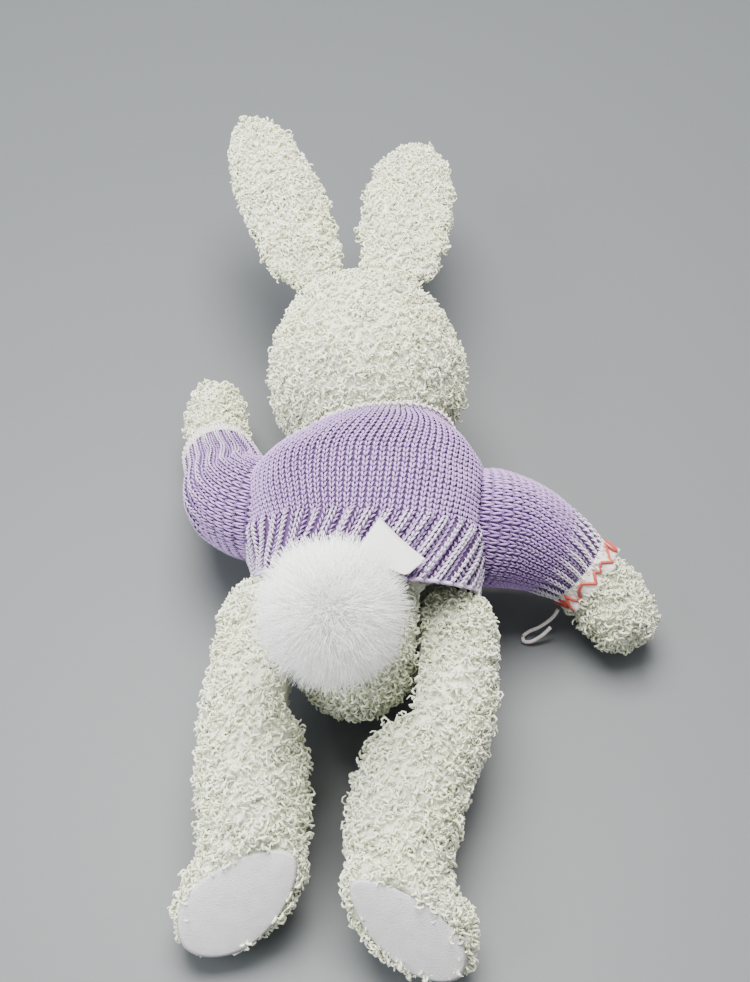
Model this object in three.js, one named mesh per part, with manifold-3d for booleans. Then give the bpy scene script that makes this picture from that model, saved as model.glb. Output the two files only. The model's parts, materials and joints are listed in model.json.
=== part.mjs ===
// A disc-jointed plush rabbit in a knitted jumper, lying on its front with its back up.
// Millimetres. +Z is up, +Y runs from the seat to the head, and +X is the rabbit's own right-hand side.
// Plush covers are hollow and hold their own stuffing; five plastic disc joints carry the head and limbs.
import * as THREE from "three";
import { mergeVertices } from "three/addons/utils/BufferGeometryUtils.js";
import Module from "manifold-3d";

const wasm = await Module();
wasm.setup();

// Driving dimensions
const GAP = 0.4; // left between pieces that touch
const FINEST = 0.06; // detail smaller than this is dropped from a finished piece
const PLUSH = 2.4; // wall of a plush cover
const KNIT = 2.4; // wall of the jumper
const UP = new THREE.Vector3(0, 0, 1);
const NECK = { y: 43, z: 43, turn: 14 };
const SHOULDER = { x: 36.8, y: 10, z: 41.5, armhole: 19 };
const HIP = { x: 21.6, y: -38, z: 36, radius: 19.3, clear: 37 };
const HEM = { y: -17.5, z: 40, lean: 32 }; // its place at the sides, and its lean down the back
const EAR = { y: 74, z: 12, swing: 30 };
const TAIL = { x: -6, y: -60, z: 83.5, radius: 24, core: 9 };
const JOINT = { disc: 2, post: 3, bore: 3.5, washer: 1.5, lock: 3, lockRadius: 6.5 };
const EYE = { x: 18, y: 56, z: -22.2, radius: 4, stem: 1.1, bore: 1.5, washer: 4.5 };

const PLUSH_CREAM = { color: 0xcfcfc0, roughness: 0.95, metalness: 0 };
const SUEDE_WHITE = { color: 0xe4e0e0, roughness: 0.9, metalness: 0 };
const FUR_WHITE = { color: 0xf0f0ea, roughness: 0.9, metalness: 0 };
const KNIT_LILAC = { color: 0xa48cbc, roughness: 0.9, metalness: 0 };
const BINDING_CREAM = { color: 0xeadfd8, roughness: 0.9, metalness: 0 };
const FILLING_WHITE = { color: 0xf4f4f4, roughness: 1, metalness: 0 };
const PELLET_CLOTH = { color: 0xd8d4c8, roughness: 0.95, metalness: 0 };
const JOINT_PLASTIC = { color: 0xe8e8e8, roughness: 0.45, metalness: 0 };
const EYE_BLACK = { color: 0x0c0c0e, roughness: 0.12, metalness: 0 };
const NOSE_THREAD = { color: 0xc89098, roughness: 0.8, metalness: 0 };
const LABEL_SATIN = { color: 0xf4f2f0, roughness: 0.5, metalness: 0 };

const radians = THREE.MathUtils.degToRad;
const vector = (x, y, z) => new THREE.Vector3(x, y, z);

// Solids

// A closed geometry as a solid, after an optional placing matrix.
function solid(geometry, matrix = new THREE.Matrix4()) {
  const bare = geometry.clone().applyMatrix4(matrix);
  bare.deleteAttribute("normal");
  bare.deleteAttribute("uv");
  const merged = mergeVertices(bare, 1e-4);
  const corners = new Uint32Array(merged.index.array);
  const points = merged.getAttribute("position").array;
  const mesh = (triVerts) => new wasm.Mesh({ numProp: 3, vertProperties: points, triVerts });
  const made = new wasm.Manifold(mesh(corners));
  return made.volume() > 0 ? made : new wasm.Manifold(mesh(corners.reverse()));
}

// The named mesh of a solid.
function piece(name, body, look) {
  const { vertProperties, triVerts } = body.simplify(FINEST).getMesh();
  const geometry = new THREE.BufferGeometry();
  geometry.setAttribute("position", new THREE.BufferAttribute(vertProperties, 3));
  geometry.setIndex(new THREE.BufferAttribute(triVerts, 1));
  geometry.computeVertexNormals();
  const mesh = new THREE.Mesh(geometry, new THREE.MeshStandardMaterial(look));
  mesh.name = name;
  return mesh;
}

// The turn that carries +Y onto a direction, placed at a point.
function along(point, direction) {
  const turn = new THREE.Quaternion().setFromUnitVectors(vector(0, 1, 0), direction.clone().normalize());
  return new THREE.Matrix4().compose(point, turn, vector(1, 1, 1));
}

// A round bar whose axis runs from a point in a direction, between two distances along it.
function bar(point, direction, from, to, radius, sides = 16) {
  const middle = point.clone().addScaledVector(direction.clone().normalize(), (from + to) / 2);
  const rod = new THREE.CylinderGeometry(radius, radius, Math.abs(to - from), sides);
  return solid(rod, along(middle, direction));
}

// A solid without everything that lies beyond a plane.
function cutBeyond(body, point, outward) {
  const reach = 500;
  const centre = point.clone().addScaledVector(outward.clone().normalize(), reach / 2);
  return body.subtract(solid(new THREE.BoxGeometry(reach, reach, reach), along(centre, outward)));
}

const onFloor = (body, floor = 0) => cutBeyond(body, vector(0, 0, floor), vector(0, 0, -1));

// A size that changes smoothly between stations, each a place and the size there.
function profile(stations) {
  const track = new THREE.CubicInterpolant(
    stations.map((station) => station[0]),
    stations.map((station) => station[1]),
    1,
  );
  return (place) => track.evaluate(place)[0];
}

// A rounded body carried along a curve. Its half-widths across and up follow the curve's share. A larger
// bluntness makes squarer ends, and a larger squareness makes squarer sections.
function carried(curve, across, up, { around = 16, stations = 12, blunt = 3, square = 2 } = {}) {
  const squared = (value) => Math.sign(value) * Math.abs(value) ** (2 / square);
  const ball = new THREE.SphereGeometry(1, around, stations);
  const place = ball.getAttribute("position");
  const unit = new THREE.Vector3();
  for (let i = 0; i < place.count; i++) {
    unit.fromBufferAttribute(place, i);
    const share = THREE.MathUtils.clamp((1 - unit.y) / 2, 0, 1);
    const round = Math.max(0, 1 - Math.abs(unit.y) ** blunt) ** (1 / blunt);
    const angle = Math.atan2(unit.z, unit.x);
    const tangent = curve.getTangentAt(share);
    const side = tangent.clone().cross(UP).normalize();
    const top = side.clone().cross(tangent);
    const point = curve.getPointAt(share);
    point.addScaledVector(side, squared(Math.cos(angle)) * across(share) * round);
    point.addScaledVector(top, squared(Math.sin(angle)) * up(share) * round);
    place.setXYZ(i, point.x, point.y, point.z);
  }
  return ball;
}

// A straight curve between two heights of the body, with profiles read in millimetres along +Y.
function alongBody(points, across, up, inset, shape) {
  const curve = new THREE.CatmullRomCurve3(points);
  const at = (share) => curve.getPointAt(share).y;
  return carried(curve, (share) => across(at(share)) - inset, (share) => up(at(share)) - inset, shape);
}

const ball = (centre, size, around = 14, stations = 10) =>
  solid(
    new THREE.SphereGeometry(1, around, stations),
    new THREE.Matrix4().compose(centre, new THREE.Quaternion(), size),
  );

// Disc joints

// The plastic hardware of one joint. The axis starts on the face between the two covers and points into
// the limb: the limb holds the disc and its post, and the trunk holds the washer; the lock ring is
// pushed onto the post's end.
function jointHardware(face, axis, discRadius) {
  const wall = PLUSH + GAP;
  const disc = bar(face, axis, wall + GAP / 2, wall + GAP / 2 + JOINT.disc, discRadius, 16);
  const washerAt = -wall - GAP;
  const lockAt = washerAt - JOINT.washer - GAP;
  const postEnd = lockAt - JOINT.lock - 1.5;
  const post = bar(face, axis, postEnd, wall + 1, JOINT.post, 10);
  const ring = (from, to, radius, sides) =>
    bar(face, axis, from, to, radius, sides).subtract(bar(face, axis, from - 1, to + 1, JOINT.bore, 10));
  return {
    disc: disc.add(post),
    washer: ring(washerAt - JOINT.washer, washerAt, discRadius, 16),
    lock: ring(lockAt - JOINT.lock, lockAt, JOINT.lockRadius, 10),
    hole: bar(face, axis, -wall - 1, wall + 1, JOINT.bore, 10),
    limbPocket: bar(face, axis, -5, wall + JOINT.disc + 1, discRadius + 0.6, 16),
    trunkPocket: bar(face, axis, postEnd - 0.6, 1, discRadius + 0.6, 16),
  };
}

const headAxis = vector(-Math.sin(radians(NECK.turn)), Math.cos(radians(NECK.turn)), 0);
const neckPoint = vector(0, NECK.y, NECK.z);
const shoulderPoint = (side) => vector(side * (SHOULDER.x + GAP / 2), SHOULDER.y, SHOULDER.z);
const hipPoint = (side) => vector(side * (HIP.x + GAP / 2), HIP.y, HIP.z);
const sideways = (side) => vector(side, 0, 0);
const neckParts = jointHardware(neckPoint, headAxis, 14);
const localNeckParts = jointHardware(vector(0, 0, 0), vector(0, 1, 0), 14);
const shoulderParts = (side) => jointHardware(shoulderPoint(side), sideways(side), 10);
const hipParts = (side) => jointHardware(hipPoint(side), sideways(side), 12);

// Trunk

const trunkSpine = [vector(0, -67, 33), vector(0, -38, 36), vector(0, 0, 39), vector(0, 50, 42)];
const trunkAcross = profile([
  [-67, 12], [-60, 17.5], [-50, 23], [-38, 26], [-24, 28], [-12, 33],
  [0, 39.3], [12, 40.6], [24, 38.6], [34, 31], [44, 23], [50, 20],
]);
const trunkUp = profile([
  [-67, 16], [-60, 23], [-50, 29], [-38, 32.5], [-20, 34],
  [0, 35.5], [18, 35], [32, 30], [44, 24], [50, 20],
]);

// The trunk's plush surface, or the same surface moved inwards by an inset.
function trunkBody(inset) {
  const facets = inset > 0 ? { around: 14, stations: 10 } : { around: 18, stations: 12 };
  const ends = [vector(0, -67 + inset, 33), ...trunkSpine.slice(1)];
  let body = solid(alongBody(ends, trunkAcross, trunkUp, inset, { ...facets, blunt: 5, square: 2.4 }));
  body = cutBeyond(body, neckPoint.clone().addScaledVector(headAxis, -GAP / 2 - inset), headAxis);
  for (const side of [-1, 1]) {
    body = cutBeyond(body, vector(side * (SHOULDER.x - inset), 0, 0), sideways(side));
    // A round pad for the thigh, open in front to where the leg stands when the rabbit sits
    const pad = bar(vector(0, HIP.y, HIP.z), sideways(side), HIP.x - inset, 60, HIP.radius + 1.2 + inset, 20);
    body = body.subtract(pad.add(pad.translate([0, 0, -HIP.z])).hull());
  }
  return body;
}

const trunkHoles = [neckParts, shoulderParts(-1), shoulderParts(1), hipParts(-1), hipParts(1)];

function trunkCover() {
  let cover = trunkBody(0).subtract(trunkBody(PLUSH));
  for (const parts of trunkHoles) cover = cover.subtract(parts.hole);
  return cover;
}

// The bag of pellets that weights the seat, and the loose filling around it.
const pelletBag = ball(vector(0, -44, 28), vector(10, 12, 15), 10, 8);
function trunkStuffing() {
  const bagPocket = ball(vector(0, -44, 28), vector(10.6, 12.6, 15.6), 10, 8);
  const mouth = bar(vector(0, -44, 28), vector(0, -1, 0), 0, 40, 7, 10);
  let filling = trunkBody(PLUSH + GAP).subtract(bagPocket).subtract(mouth);
  for (const parts of trunkHoles) filling = filling.subtract(parts.trunkPocket);
  return filling;
}

// Jumper

const jumperAcross = profile([
  [-40, 38], [-18, 41.2], [0, 43.2], [12, 43.8], [24, 42.6], [34, 36.8], [42, 28], [52, 24],
]);
const jumperUp = profile([[-40, 41], [-18, 41.5], [0, 41.5], [18, 40.5], [32, 37], [42, 29.5], [52, 25]]);
const collarPoint = neckPoint.clone().addScaledVector(headAxis, -3);

function jumperBody(inset) {
  const spine = [vector(0, -50, 38), vector(0, 0, 39), vector(0, 60, 42)];
  const facets = inset > 0 ? { around: 16, stations: 9 } : { around: 20, stations: 11 };
  let body = solid(alongBody(spine, jumperAcross, jumperUp, inset, { ...facets, blunt: 12, square: 2.4 }));
  for (const side of [-1, 1]) {
    body = cutBeyond(body, vector(side * (SHOULDER.x + GAP + KNIT - inset), 0, 0), sideways(side));
  }
  return onFloor(body, inset);
}

function jumperTube() {
  let tube = jumperBody(0).subtract(jumperBody(KNIT));
  for (const side of [-1, 1]) {
    const shoulder = vector(0, SHOULDER.y, SHOULDER.z);
    tube = tube.subtract(bar(shoulder, sideways(side), 20, 60, SHOULDER.armhole, 24));
  }
  // The hem is square to the body in front, so that the thighs can swing past it.
  const lean = vector(0, -Math.cos(radians(HEM.lean)), -Math.sin(radians(HEM.lean)));
  const all = solid(new THREE.BoxGeometry(400, 400, 400));
  const belowHem = all.subtract(cutBeyond(all, vector(0, HEM.y, HEM.z), lean));
  return tube.subtract(cutBeyond(belowHem, vector(0, HEM.y, HEM.z), vector(0, 1, 0)));
}

const binding = (tube, at, outward, width) => {
  const begin = cutBeyond(tube, at.clone().addScaledVector(outward, GAP), outward.clone().negate());
  return cutBeyond(begin, at.clone().addScaledVector(outward, GAP + width), outward);
};

// Sleeves and arms

// Each arm leaves its shoulder squarely, because the root turns inside the armhole.
const ARMS = {
  left: {
    side: -1,
    points: [
      [-26, 10, 41.5], [-43.5, 10.5, 41], [-53, 18.5, 35.5], [-59.5, 35, 28],
      [-66, 52, 22], [-69.5, 69, 19], [-72, 86, 18],
    ],
    cuff: 0.62,
    sleeve: [[0, 22.5], [0.2, 22.5], [0.32, 21], [0.46, 17.5], [0.62, 14.2], [1, 14]],
    arm: [[0, 16], [0.16, 16.2], [0.4, 14.5], [0.62, 11.5], [0.82, 13], [1, 12.5]],
  },
  right: {
    side: 1,
    points: [
      [26, 10, 41.5], [41, 10, 41.5], [55, 11, 36.5], [68, 9.5, 30],
      [78, 6.5, 24], [88, 0.5, 18.5], [97, -7, 15.5], [104, -14, 14.5],
    ],
    cuff: 0.63,
    sleeve: [[0, 23], [0.22, 23], [0.4, 21.5], [0.52, 18], [0.63, 16], [1, 16]],
    arm: [[0, 17], [0.22, 17], [0.4, 16], [0.63, 12.5], [0.84, 15], [1, 14.5]],
  },
};

const armCurve = (arm) => new THREE.CatmullRomCurve3(arm.points.map((point) => vector(...point)));

function armBody(arm, inset) {
  const size = profile(arm.arm);
  const girth = (share) => size(share) - inset;
  const shape = { around: inset > 0 ? 10 : 12, stations: inset > 0 ? 9 : 12, blunt: 5 };
  const ends = arm.points.map((point) => vector(...point));
  if (inset > 0) ends[ends.length - 1].lerp(ends[ends.length - 2], inset / 20);
  const body = solid(carried(new THREE.CatmullRomCurve3(ends), girth, girth, shape));
  const root = vector(arm.side * (SHOULDER.x + GAP + inset), 0, 0);
  return onFloor(cutBeyond(body, root, sideways(-arm.side)), inset);
}

function sleeveTube(arm) {
  const size = profile(arm.sleeve);
  const layer = (inset, shape) => {
    const girth = (share) => size(share) - inset;
    return solid(carried(armCurve(arm), girth, girth, shape));
  };
  const outer = onFloor(layer(0, { around: 16, stations: 12, blunt: 20 }));
  const inner = onFloor(layer(KNIT, { around: 12, stations: 12, blunt: 20 }), KNIT / 2);
  const tube = outer.subtract(inner).subtract(armBody(arm, -GAP));
  return cutBeyond(tube, vector(arm.side * (SHOULDER.x + 2 * GAP + KNIT), 0, 0), sideways(-arm.side));
}

function armPieces(name) {
  const arm = ARMS[name];
  const parts = shoulderParts(arm.side);
  const curve = armCurve(arm);
  const cuffAt = curve.getPointAt(arm.cuff);
  const cuffOut = curve.getTangentAt(arm.cuff);
  const tube = sleeveTube(arm);
  const cover = armBody(arm, 0).subtract(armBody(arm, PLUSH)).subtract(parts.hole);
  const group = new THREE.Group();
  group.add(
    piece(`${name}_arm_cover`, cover, PLUSH_CREAM),
    piece(`${name}_arm_stuffing`, armBody(arm, PLUSH + GAP).subtract(parts.limbPocket), FILLING_WHITE),
    piece(`${name}_shoulder_disc`, parts.disc, JOINT_PLASTIC),
    piece(`${name}_shoulder_lock_ring`, parts.lock, JOINT_PLASTIC),
    piece(`${name}_sleeve`, cutBeyond(tube, cuffAt, cuffOut), KNIT_LILAC),
    piece(`${name}_cuff_binding`, binding(tube, cuffAt, cuffOut, 3.4), BINDING_CREAM),
  );
  return group;
}

// Legs

// Each leg hangs from a round thigh on its disc and ends in a foot whose sole faces back and up.
const LEGS = {
  left: {
    side: -1,
    points: [
      [-33.5, -27, 36], [-34, -45, 36], [-34, -68, 33.5],
      [-30.5, -92, 29], [-27.5, -110, 26], [-28.5, -136, 24],
    ],
    across: [[0, 15], [0.2, 16.8], [0.45, 18], [0.7, 20], [0.85, 20.5], [1, 19]],
    up: [[0, 18], [0.2, 19], [0.5, 19.5], [0.8, 20.5], [1, 20]],
    heel: [-13.5, -123.5, 35],
    toe: [-43.5, -147, 14.5],
    face: [0.17, -0.75, 0.66],
  },
  right: {
    side: 1,
    points: [
      [34, -27, 36], [35.5, -45, 36], [32.5, -67, 33.5], [24, -90, 29], [21, -108, 26], [27, -136, 24],
    ],
    across: [[0, 15], [0.2, 17], [0.45, 18.5], [0.65, 20], [0.85, 20.5], [1, 19]],
    up: [[0, 18], [0.2, 19], [0.5, 19.5], [0.8, 20.5], [1, 20]],
    heel: [9, -131, 37],
    toe: [44, -148, 14.5],
    face: [-0.01, -0.8, 0.6],
  },
};
const SOLE = { length: 23, width: 13.5, rim: 3.6, depth: 17, crown: 2.4 };

// The foot's own frame: its origin in the middle of the sole, +X to the toe and +Z out of the sole.
function soleFrame(leg) {
  const heel = vector(...leg.heel);
  const toe = vector(...leg.toe);
  const forwards = toe.clone().sub(heel).normalize();
  const out = vector(...leg.face);
  out.addScaledVector(forwards, -out.dot(forwards)).normalize();
  const basis = new THREE.Matrix4().makeBasis(forwards, out.clone().cross(forwards), out);
  return { out, middle: heel.add(toe).multiplyScalar(0.5), basis };
}

function legBody(leg, inset) {
  const { out, middle, basis } = soleFrame(leg);
  const across = profile(leg.across);
  const up = profile(leg.up);
  const shape = inset > 0 ? { around: 10, stations: 7, blunt: 2.6 } : { around: 12, stations: 9, blunt: 2.6 };
  const curve = new THREE.CatmullRomCurve3(leg.points.map((point) => vector(...point)));
  let body = solid(carried(curve, (share) => across(share) - inset, (share) => up(share) - inset, shape));
  const thigh = vector(17.5 - inset, HIP.radius - inset, HIP.radius - inset);
  const facets = inset > 0 ? [10, 6] : [12, 7];
  body = body.add(ball(vector(leg.side * 33, HIP.y, HIP.z), thigh, ...facets));
  const size = vector(SOLE.length + SOLE.rim - inset, SOLE.width + SOLE.rim - inset, SOLE.depth - inset);
  const foot = new THREE.Matrix4().makeTranslation(middle.clone().addScaledVector(out, -SOLE.depth * 0.45));
  body = body.add(solid(new THREE.SphereGeometry(1, ...facets), foot.multiply(basis).scale(size)));
  body = cutBeyond(body, middle.clone().addScaledVector(out, -inset), out);
  // The inner side is flat where it faces the trunk, out to where the leg swings clear of it.
  const from = HIP.x - 25;
  const to = HIP.x + GAP + inset;
  body = body.subtract(bar(vector(0, HIP.y, HIP.z), sideways(leg.side), from, to, HIP.clear + inset, 24));
  body = cutBeyond(body, vector(leg.side * (GAP + inset), 0, 0), sideways(-leg.side));
  return onFloor(body, inset);
}

function footPad(leg) {
  const { out, middle, basis } = soleFrame(leg);
  const size = vector(SOLE.length, SOLE.width, SOLE.crown);
  const place = new THREE.Matrix4().makeTranslation(middle).multiply(basis).scale(size);
  const dome = solid(new THREE.SphereGeometry(1, 20, 8), place);
  return onFloor(cutBeyond(dome, middle.clone().addScaledVector(out, GAP), out.clone().negate()));
}

function legPieces(name) {
  const leg = LEGS[name];
  const parts = hipParts(leg.side);
  const cover = legBody(leg, 0).subtract(legBody(leg, PLUSH)).subtract(parts.hole);
  const group = new THREE.Group();
  group.add(
    piece(`${name}_leg_cover`, cover, PLUSH_CREAM),
    piece(`${name}_leg_stuffing`, legBody(leg, PLUSH + GAP).subtract(parts.limbPocket), FILLING_WHITE),
    piece(`${name}_foot_pad`, footPad(leg), SUEDE_WHITE),
    piece(`${name}_hip_disc`, parts.disc, JOINT_PLASTIC),
    piece(`${name}_hip_lock_ring`, parts.lock, JOINT_PLASTIC),
  );
  return group;
}

// Head, in its own frame: the neck joint's face at the origin, +Y to the crown and the face at -Z

const headAcross = profile([
  [0, 21], [6, 28], [13, 34.5], [22, 38.5], [34, 39], [46, 37], [58, 33], [68, 28], [78, 20],
]);
const headUp = profile([
  [0, 21], [6, 26], [13, 30], [22, 34.5], [34, 36.5], [46, 35.5], [58, 32], [68, 27], [78, 19],
]);
const headFloor = -NECK.z;

// The way the face looks at an eye, with the head upright.
const faceOut = (x) => vector(x * 0.022, 0.3, -1).normalize();

function headGeometry(inset) {
  const spine = [vector(0, -8, 2), vector(0, 30, 4), vector(0, 78 - inset, 4)];
  return alongBody(spine, headAcross, headUp, inset, {
    around: inset > 0 ? 12 : 16,
    stations: inset > 0 ? 8 : 12,
    blunt: 4,
  });
}

function headBody(inset) {
  let body = solid(headGeometry(inset));
  const muzzle = vector(22 - inset, 21 - inset, 20 - inset);
  const facets = inset > 0 ? [8, 6] : [12, 7];
  body = body.add(ball(vector(0, 33, -24), muzzle, ...facets));
  body = cutBeyond(body, vector(0, GAP / 2 + inset, 0), vector(0, -1, 0));
  return onFloor(body, headFloor + inset);
}

function eyeParts(side) {
  const axis = faceOut(side * EYE.x);
  const seat = vector(side * EYE.x, EYE.y, EYE.z);
  const centre = seat.clone().addScaledVector(axis, 3.6);
  const bead = (radius) => ball(centre, vector(radius, radius, radius), 12, 8);
  return {
    eye: bead(EYE.radius).add(bar(seat, axis, -8.5, 1, EYE.stem, 8)),
    hole: bar(seat, axis, -9, 9, EYE.bore, 8),
    washer: bar(seat, axis, -7.2, -5.8, EYE.washer, 12).subtract(bar(seat, axis, -9, -4, EYE.bore, 8)),
    pocket: bar(seat, axis, -10, 2, EYE.washer + 0.6, 12),
    socket: bead(EYE.radius + GAP),
  };
}

const leftEye = eyeParts(-1);
const rightEye = eyeParts(1);

function nosePad() {
  const pad = ball(vector(0, 50, -35.2), vector(6.5, 4.2, 4), 12, 8);
  return onFloor(pad.subtract(headBody(-GAP)), headFloor + GAP);
}

// An ear in its own frame: its hinge line along X at the origin and its tip towards +Y. The plush back
// is uppermost and the suede lining faces down.
const earWide = profile([[0, 18], [0.12, 18.5], [0.35, 19.5], [0.6, 19.5], [0.8, 18], [0.93, 16], [1, 14]]);
const earThick = profile([[0, 4.5], [0.3, 5.5], [0.7, 5.5], [1, 4.5]]);
const EARS = {
  left: { x: -14, splay: 10, lift: 5, length: 108 },
  right: { x: 18, splay: -14.5, lift: -6, length: 104 },
};

function earFrame(ear) {
  const frame = new THREE.Object3D();
  frame.position.set(ear.x, EAR.y, EAR.z);
  frame.rotation.set(radians(ear.lift), 0, radians(ear.splay), "ZXY");
  frame.updateMatrix();
  return frame;
}

// The ear's outline, with its root cut to clear the head wherever the ear swings.
function earBody(ear) {
  const curve = new THREE.CatmullRomCurve3([
    vector(0, -4, 0),
    vector(0, ear.length * 0.35, 1.5),
    vector(0, ear.length * 0.7, 1.5),
    vector(0, ear.length, -1),
  ]);
  let body = solid(carried(curve, earWide, earThick, { around: 12, stations: 12, blunt: 2.6 }));
  const toEar = earFrame(ear).matrix.clone().invert();
  for (let swing = -EAR.swing; swing <= EAR.swing; swing += EAR.swing / 2) {
    const turned = new THREE.Matrix4().makeRotationX(radians(swing)).multiply(toEar);
    body = body.subtract(solid(headGeometry(-GAP * 2), turned));
  }
  return body;
}

function earPieces(name) {
  const ear = EARS[name];
  const frame = earFrame(ear);
  const group = new THREE.Group();
  group.position.copy(frame.position);
  group.quaternion.copy(frame.quaternion);
  const whole = earBody(ear);
  const seamAt = -2.2;
  group.add(
    piece(`${name}_ear_back`, cutBeyond(whole, vector(0, 0, seamAt), vector(0, 0, -1)), PLUSH_CREAM),
    piece(`${name}_ear_lining`, cutBeyond(whole, vector(0, 0, seamAt - GAP), vector(0, 0, 1)), SUEDE_WHITE),
  );
  return group;
}

function headPieces() {
  const group = new THREE.Group();
  group.position.copy(neckPoint);
  group.rotation.z = radians(NECK.turn);
  let cover = headBody(0).subtract(headBody(PLUSH)).subtract(localNeckParts.hole);
  let filling = headBody(PLUSH + GAP).subtract(localNeckParts.limbPocket);
  for (const eye of [leftEye, rightEye]) {
    cover = cover.subtract(eye.hole).subtract(eye.socket);
    filling = filling.subtract(eye.pocket);
  }
  group.add(
    piece("head_cover", cover, PLUSH_CREAM),
    piece("head_stuffing", filling, FILLING_WHITE),
    piece("neck_disc", localNeckParts.disc, JOINT_PLASTIC),
    piece("neck_lock_ring", localNeckParts.lock, JOINT_PLASTIC),
    piece("left_eye", leftEye.eye, EYE_BLACK),
    piece("right_eye", rightEye.eye, EYE_BLACK),
    piece("left_eye_washer", leftEye.washer, JOINT_PLASTIC),
    piece("right_eye_washer", rightEye.washer, JOINT_PLASTIC),
    piece("nose", nosePad(), NOSE_THREAD),
    earPieces("left"),
    earPieces("right"),
  );
  return group;
}

// The care label: a folded satin tab sewn in under the tail, lying up over the jumper's hem
const LABEL = {
  at: vector(12, -34, 81.6), width: 23, height: 18, corner: 3.5, thick: 1.1, turn: -41, tilt: 9.7,
};

function labelBody(margin) {
  const x = LABEL.width / 2 + margin;
  const y = LABEL.height / 2 + margin;
  const corner = LABEL.corner;
  const outline = new THREE.Shape().moveTo(-x, -y).lineTo(x - corner, -y);
  outline.absarc(x - corner, corner - y, corner, -Math.PI / 2, 0);
  outline.absarc(x - corner, y - corner, corner, 0, Math.PI / 2);
  outline.lineTo(-x, y);
  const depth = LABEL.thick + 2 * margin;
  const slab = new THREE.ExtrudeGeometry(outline, { depth, bevelEnabled: false, curveSegments: 3 });
  slab.translate(0, 0, -margin);
  const lie = new THREE.Euler(0, radians(LABEL.tilt), radians(LABEL.turn), "YXZ");
  const turn = new THREE.Quaternion().setFromEuler(lie);
  return solid(slab, new THREE.Matrix4().compose(LABEL.at, turn, vector(1, 1, 1)));
}

// Tail: a ball of long fur around a stuffed core, gathered where it meets the trunk

function tailPieces() {
  const group = new THREE.Group();
  const centre = vector(TAIL.x, TAIL.y, TAIL.z);
  const size = (radius) => vector(radius, radius, radius);
  const toTrunk = vector(0.1, 0.5, -1);
  const mouth = bar(centre, toTrunk, 0, TAIL.radius + 5, TAIL.core - 3, 10);
  const clear = trunkBody(-GAP).add(jumperBody(-GAP)).add(labelBody(GAP));
  const fur = ball(centre, size(TAIL.radius), 14, 10).subtract(clear);
  const hollow = ball(centre, size(TAIL.core + GAP), 10, 6).add(mouth);
  group.add(
    piece("tail_fur", fur.subtract(hollow), FUR_WHITE),
    piece("tail_core", ball(centre, size(TAIL.core), 10, 6), FILLING_WHITE),
  );
  return group;
}

// A loose end of doubled binding yarn that hangs from the right cuff down to the table.
const YARN = {
  radius: 0.7,
  route: [
    [72.2, -4.6, 12.4], [70.7, -6.4, 10.2], [68.0, -7.8, 7.2], [65.0, -8.6, 4.4], [62.0, -9.2, 2.4],
    [60.0, -10.8, 1.3], [60.4, -12.8, 1.2], [62.6, -13.4, 2.0], [65.6, -12.6, 4.0], [68.2, -11.4, 6.4],
    [69.8, -10.4, 8.4],
  ],
};

function yarnEnd() {
  const curve = new THREE.CatmullRomCurve3(YARN.route.map((point) => vector(...point)));
  const outline = new THREE.EllipseCurve(0, 0, YARN.radius, YARN.radius);
  const ring = new THREE.Shape(outline.getPoints(8).slice(0, 8));
  const tube = new THREE.ExtrudeGeometry(ring, { steps: 16, extrudePath: curve });
  return piece("right_cuff_yarn_end", solid(tube), BINDING_CREAM);
}

function trunkPieces() {
  const group = new THREE.Group();
  const tube = jumperTube();
  group.add(
    piece("trunk_cover", trunkCover(), PLUSH_CREAM),
    piece("trunk_stuffing", trunkStuffing(), FILLING_WHITE),
    piece("pellet_bag", pelletBag, PELLET_CLOTH),
    piece("jumper_body", cutBeyond(tube, collarPoint, headAxis), KNIT_LILAC),
    piece("jumper_neck_binding", binding(tube, collarPoint, headAxis, 2.6), BINDING_CREAM),
    piece("neck_washer", neckParts.washer, JOINT_PLASTIC),
    tailPieces(),
    piece("care_label", labelBody(0), LABEL_SATIN),
  );
  for (const [name, side] of [["left", -1], ["right", 1]]) {
    group.add(
      piece(`${name}_shoulder_washer`, shoulderParts(side).washer, JOINT_PLASTIC),
      piece(`${name}_hip_washer`, hipParts(side).washer, JOINT_PLASTIC),
    );
  }
  return group;
}

// The whole rabbit, moved so that the middle of its footprint is at the origin.
const rabbit = new THREE.Group();
rabbit.add(trunkPieces(), headPieces());
rabbit.add(armPieces("left"), armPieces("right"), yarnEnd(), legPieces("left"), legPieces("right"));

const footprint = new THREE.Box3().setFromObject(rabbit, true);
const middle = footprint.getCenter(new THREE.Vector3());
rabbit.position.set(-middle.x, -middle.y, -footprint.min.z);

const part = new THREE.Group();
part.add(rabbit);

export default part;
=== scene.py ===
"""A plush rabbit in a knitted jumper, lying on its front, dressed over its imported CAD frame.

Lengths inside the shape functions are millimetres of the rabbit's own frame: X 0 is the middle of the
trunk, +Y runs to the head and Z 0 is the table. place() turns them into metres of the row's frame.
"""
import json
import math

import bpy
import numpy as np
from bpy.props import FloatProperty, FloatVectorProperty, IntProperty, PointerProperty
from mathutils import Matrix, Vector


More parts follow.
